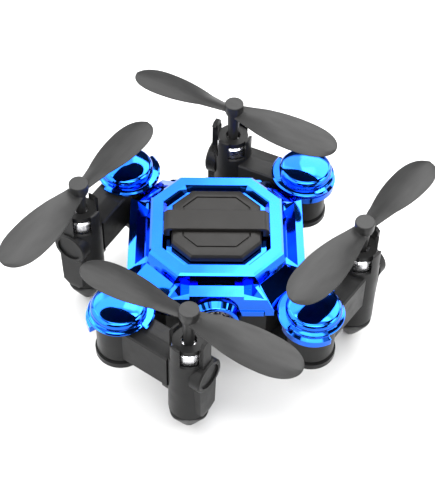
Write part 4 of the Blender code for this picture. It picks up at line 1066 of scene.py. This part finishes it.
def studio():
    """Cards of light round the model, with darkness between them, for the chrome to mirror."""
    world = bpy.data.worlds.new("studio")
    bpy.context.scene.world = world
    world.use_nodes = True
    tree = world.node_tree
    axes = tree.nodes.new("ShaderNodeSeparateXYZ")
    tree.links.new(tree.nodes.new("ShaderNodeTexCoord").outputs["Generated"], axes.inputs["Vector"])

    def math_node(operation, first, second):
        node = tree.nodes.new("ShaderNodeMath")
        node.operation = operation
        for socket, value in zip(node.inputs, (first, second)):
            if isinstance(value, float):
                socket.default_value = value
            else:
                tree.links.new(value, socket)
        return node.outputs["Value"]

    def past(axis, limit, sign):
        """1 where the axis is past a limit in one direction, with a soft edge."""
        step = tree.nodes.new("ShaderNodeMapRange")
        step.interpolation_type = "SMOOTHSTEP"
        step.inputs["From Min"].default_value = limit - sign * CARD_EDGE
        step.inputs["From Max"].default_value = limit + sign * CARD_EDGE
        tree.links.new(axes.outputs[axis], step.inputs["Value"])
        return step.outputs["Result"]

    total = None
    for *ranges, brightness in CARDS:
        card = None
        for axis, (low, high) in enumerate(ranges):
            for limit, sign in ((low, 1), (high, -1)):
                if limit is not None:
                    step = past(axis, limit, sign)
                    card = step if card is None else math_node("MULTIPLY", card, step)
        card = math_node("MULTIPLY", card, brightness)
        total = math_node("ADD", DIM, card) if total is None else math_node("ADD", total, card)
    background = tree.nodes["Background"]
    background.inputs["Color"].default_value = (1, 1, 1, 1)
    tree.links.new(total, background.inputs["Strength"])
    area_light("key_softbox", (-0.12, 0.10, 0.60), 0.6, 1.6)
    area_light("fill_softbox", (0.2, -0.35, 0.6), 0.5, 0.7)
    bpy.context.scene.view_settings.view_transform = "Standard"
    bpy.context.scene.view_settings.look = "None"


def camera():
    """Looks down at the nose from almost straight ahead."""
    azimuth, elevation, roll = (math.radians(a) for a in (AZIMUTH, ELEVATION, ROLL))
    back = Vector(
        (
            math.sin(azimuth) * math.cos(elevation),
            -math.cos(azimuth) * math.cos(elevation),
            math.sin(elevation),
        )
    )
    right = Vector((math.cos(azimuth), math.sin(azimuth), 0))
    up = back.cross(right)
    rolled_right = right * math.cos(roll) + up * math.sin(roll)
    rolled_up = up * math.cos(roll) - right * math.sin(roll)
    data = bpy.data.cameras.new("camera")
    data.lens = FOCAL_LENGTH
    data.sensor_width = SENSOR_WIDTH
    data.clip_start = 0.01
    obj = bpy.data.objects.new("camera", data)
    bpy.context.scene.collection.objects.link(obj)
    turn = Matrix((rolled_right, rolled_up, back)).transposed().to_4x4()
    obj.matrix_world = Matrix.Translation(Vector(VIEW_TARGET) + back * VIEW_DISTANCE) @ turn
    bpy.context.scene.camera = obj


camera()
dress_frame()
top_cover()
for corner in range(4):
    cover_corner(corner)
lower_shell()
badge_plate()
badge_band()
nose_camera()
add_arms()
floor()
studio()
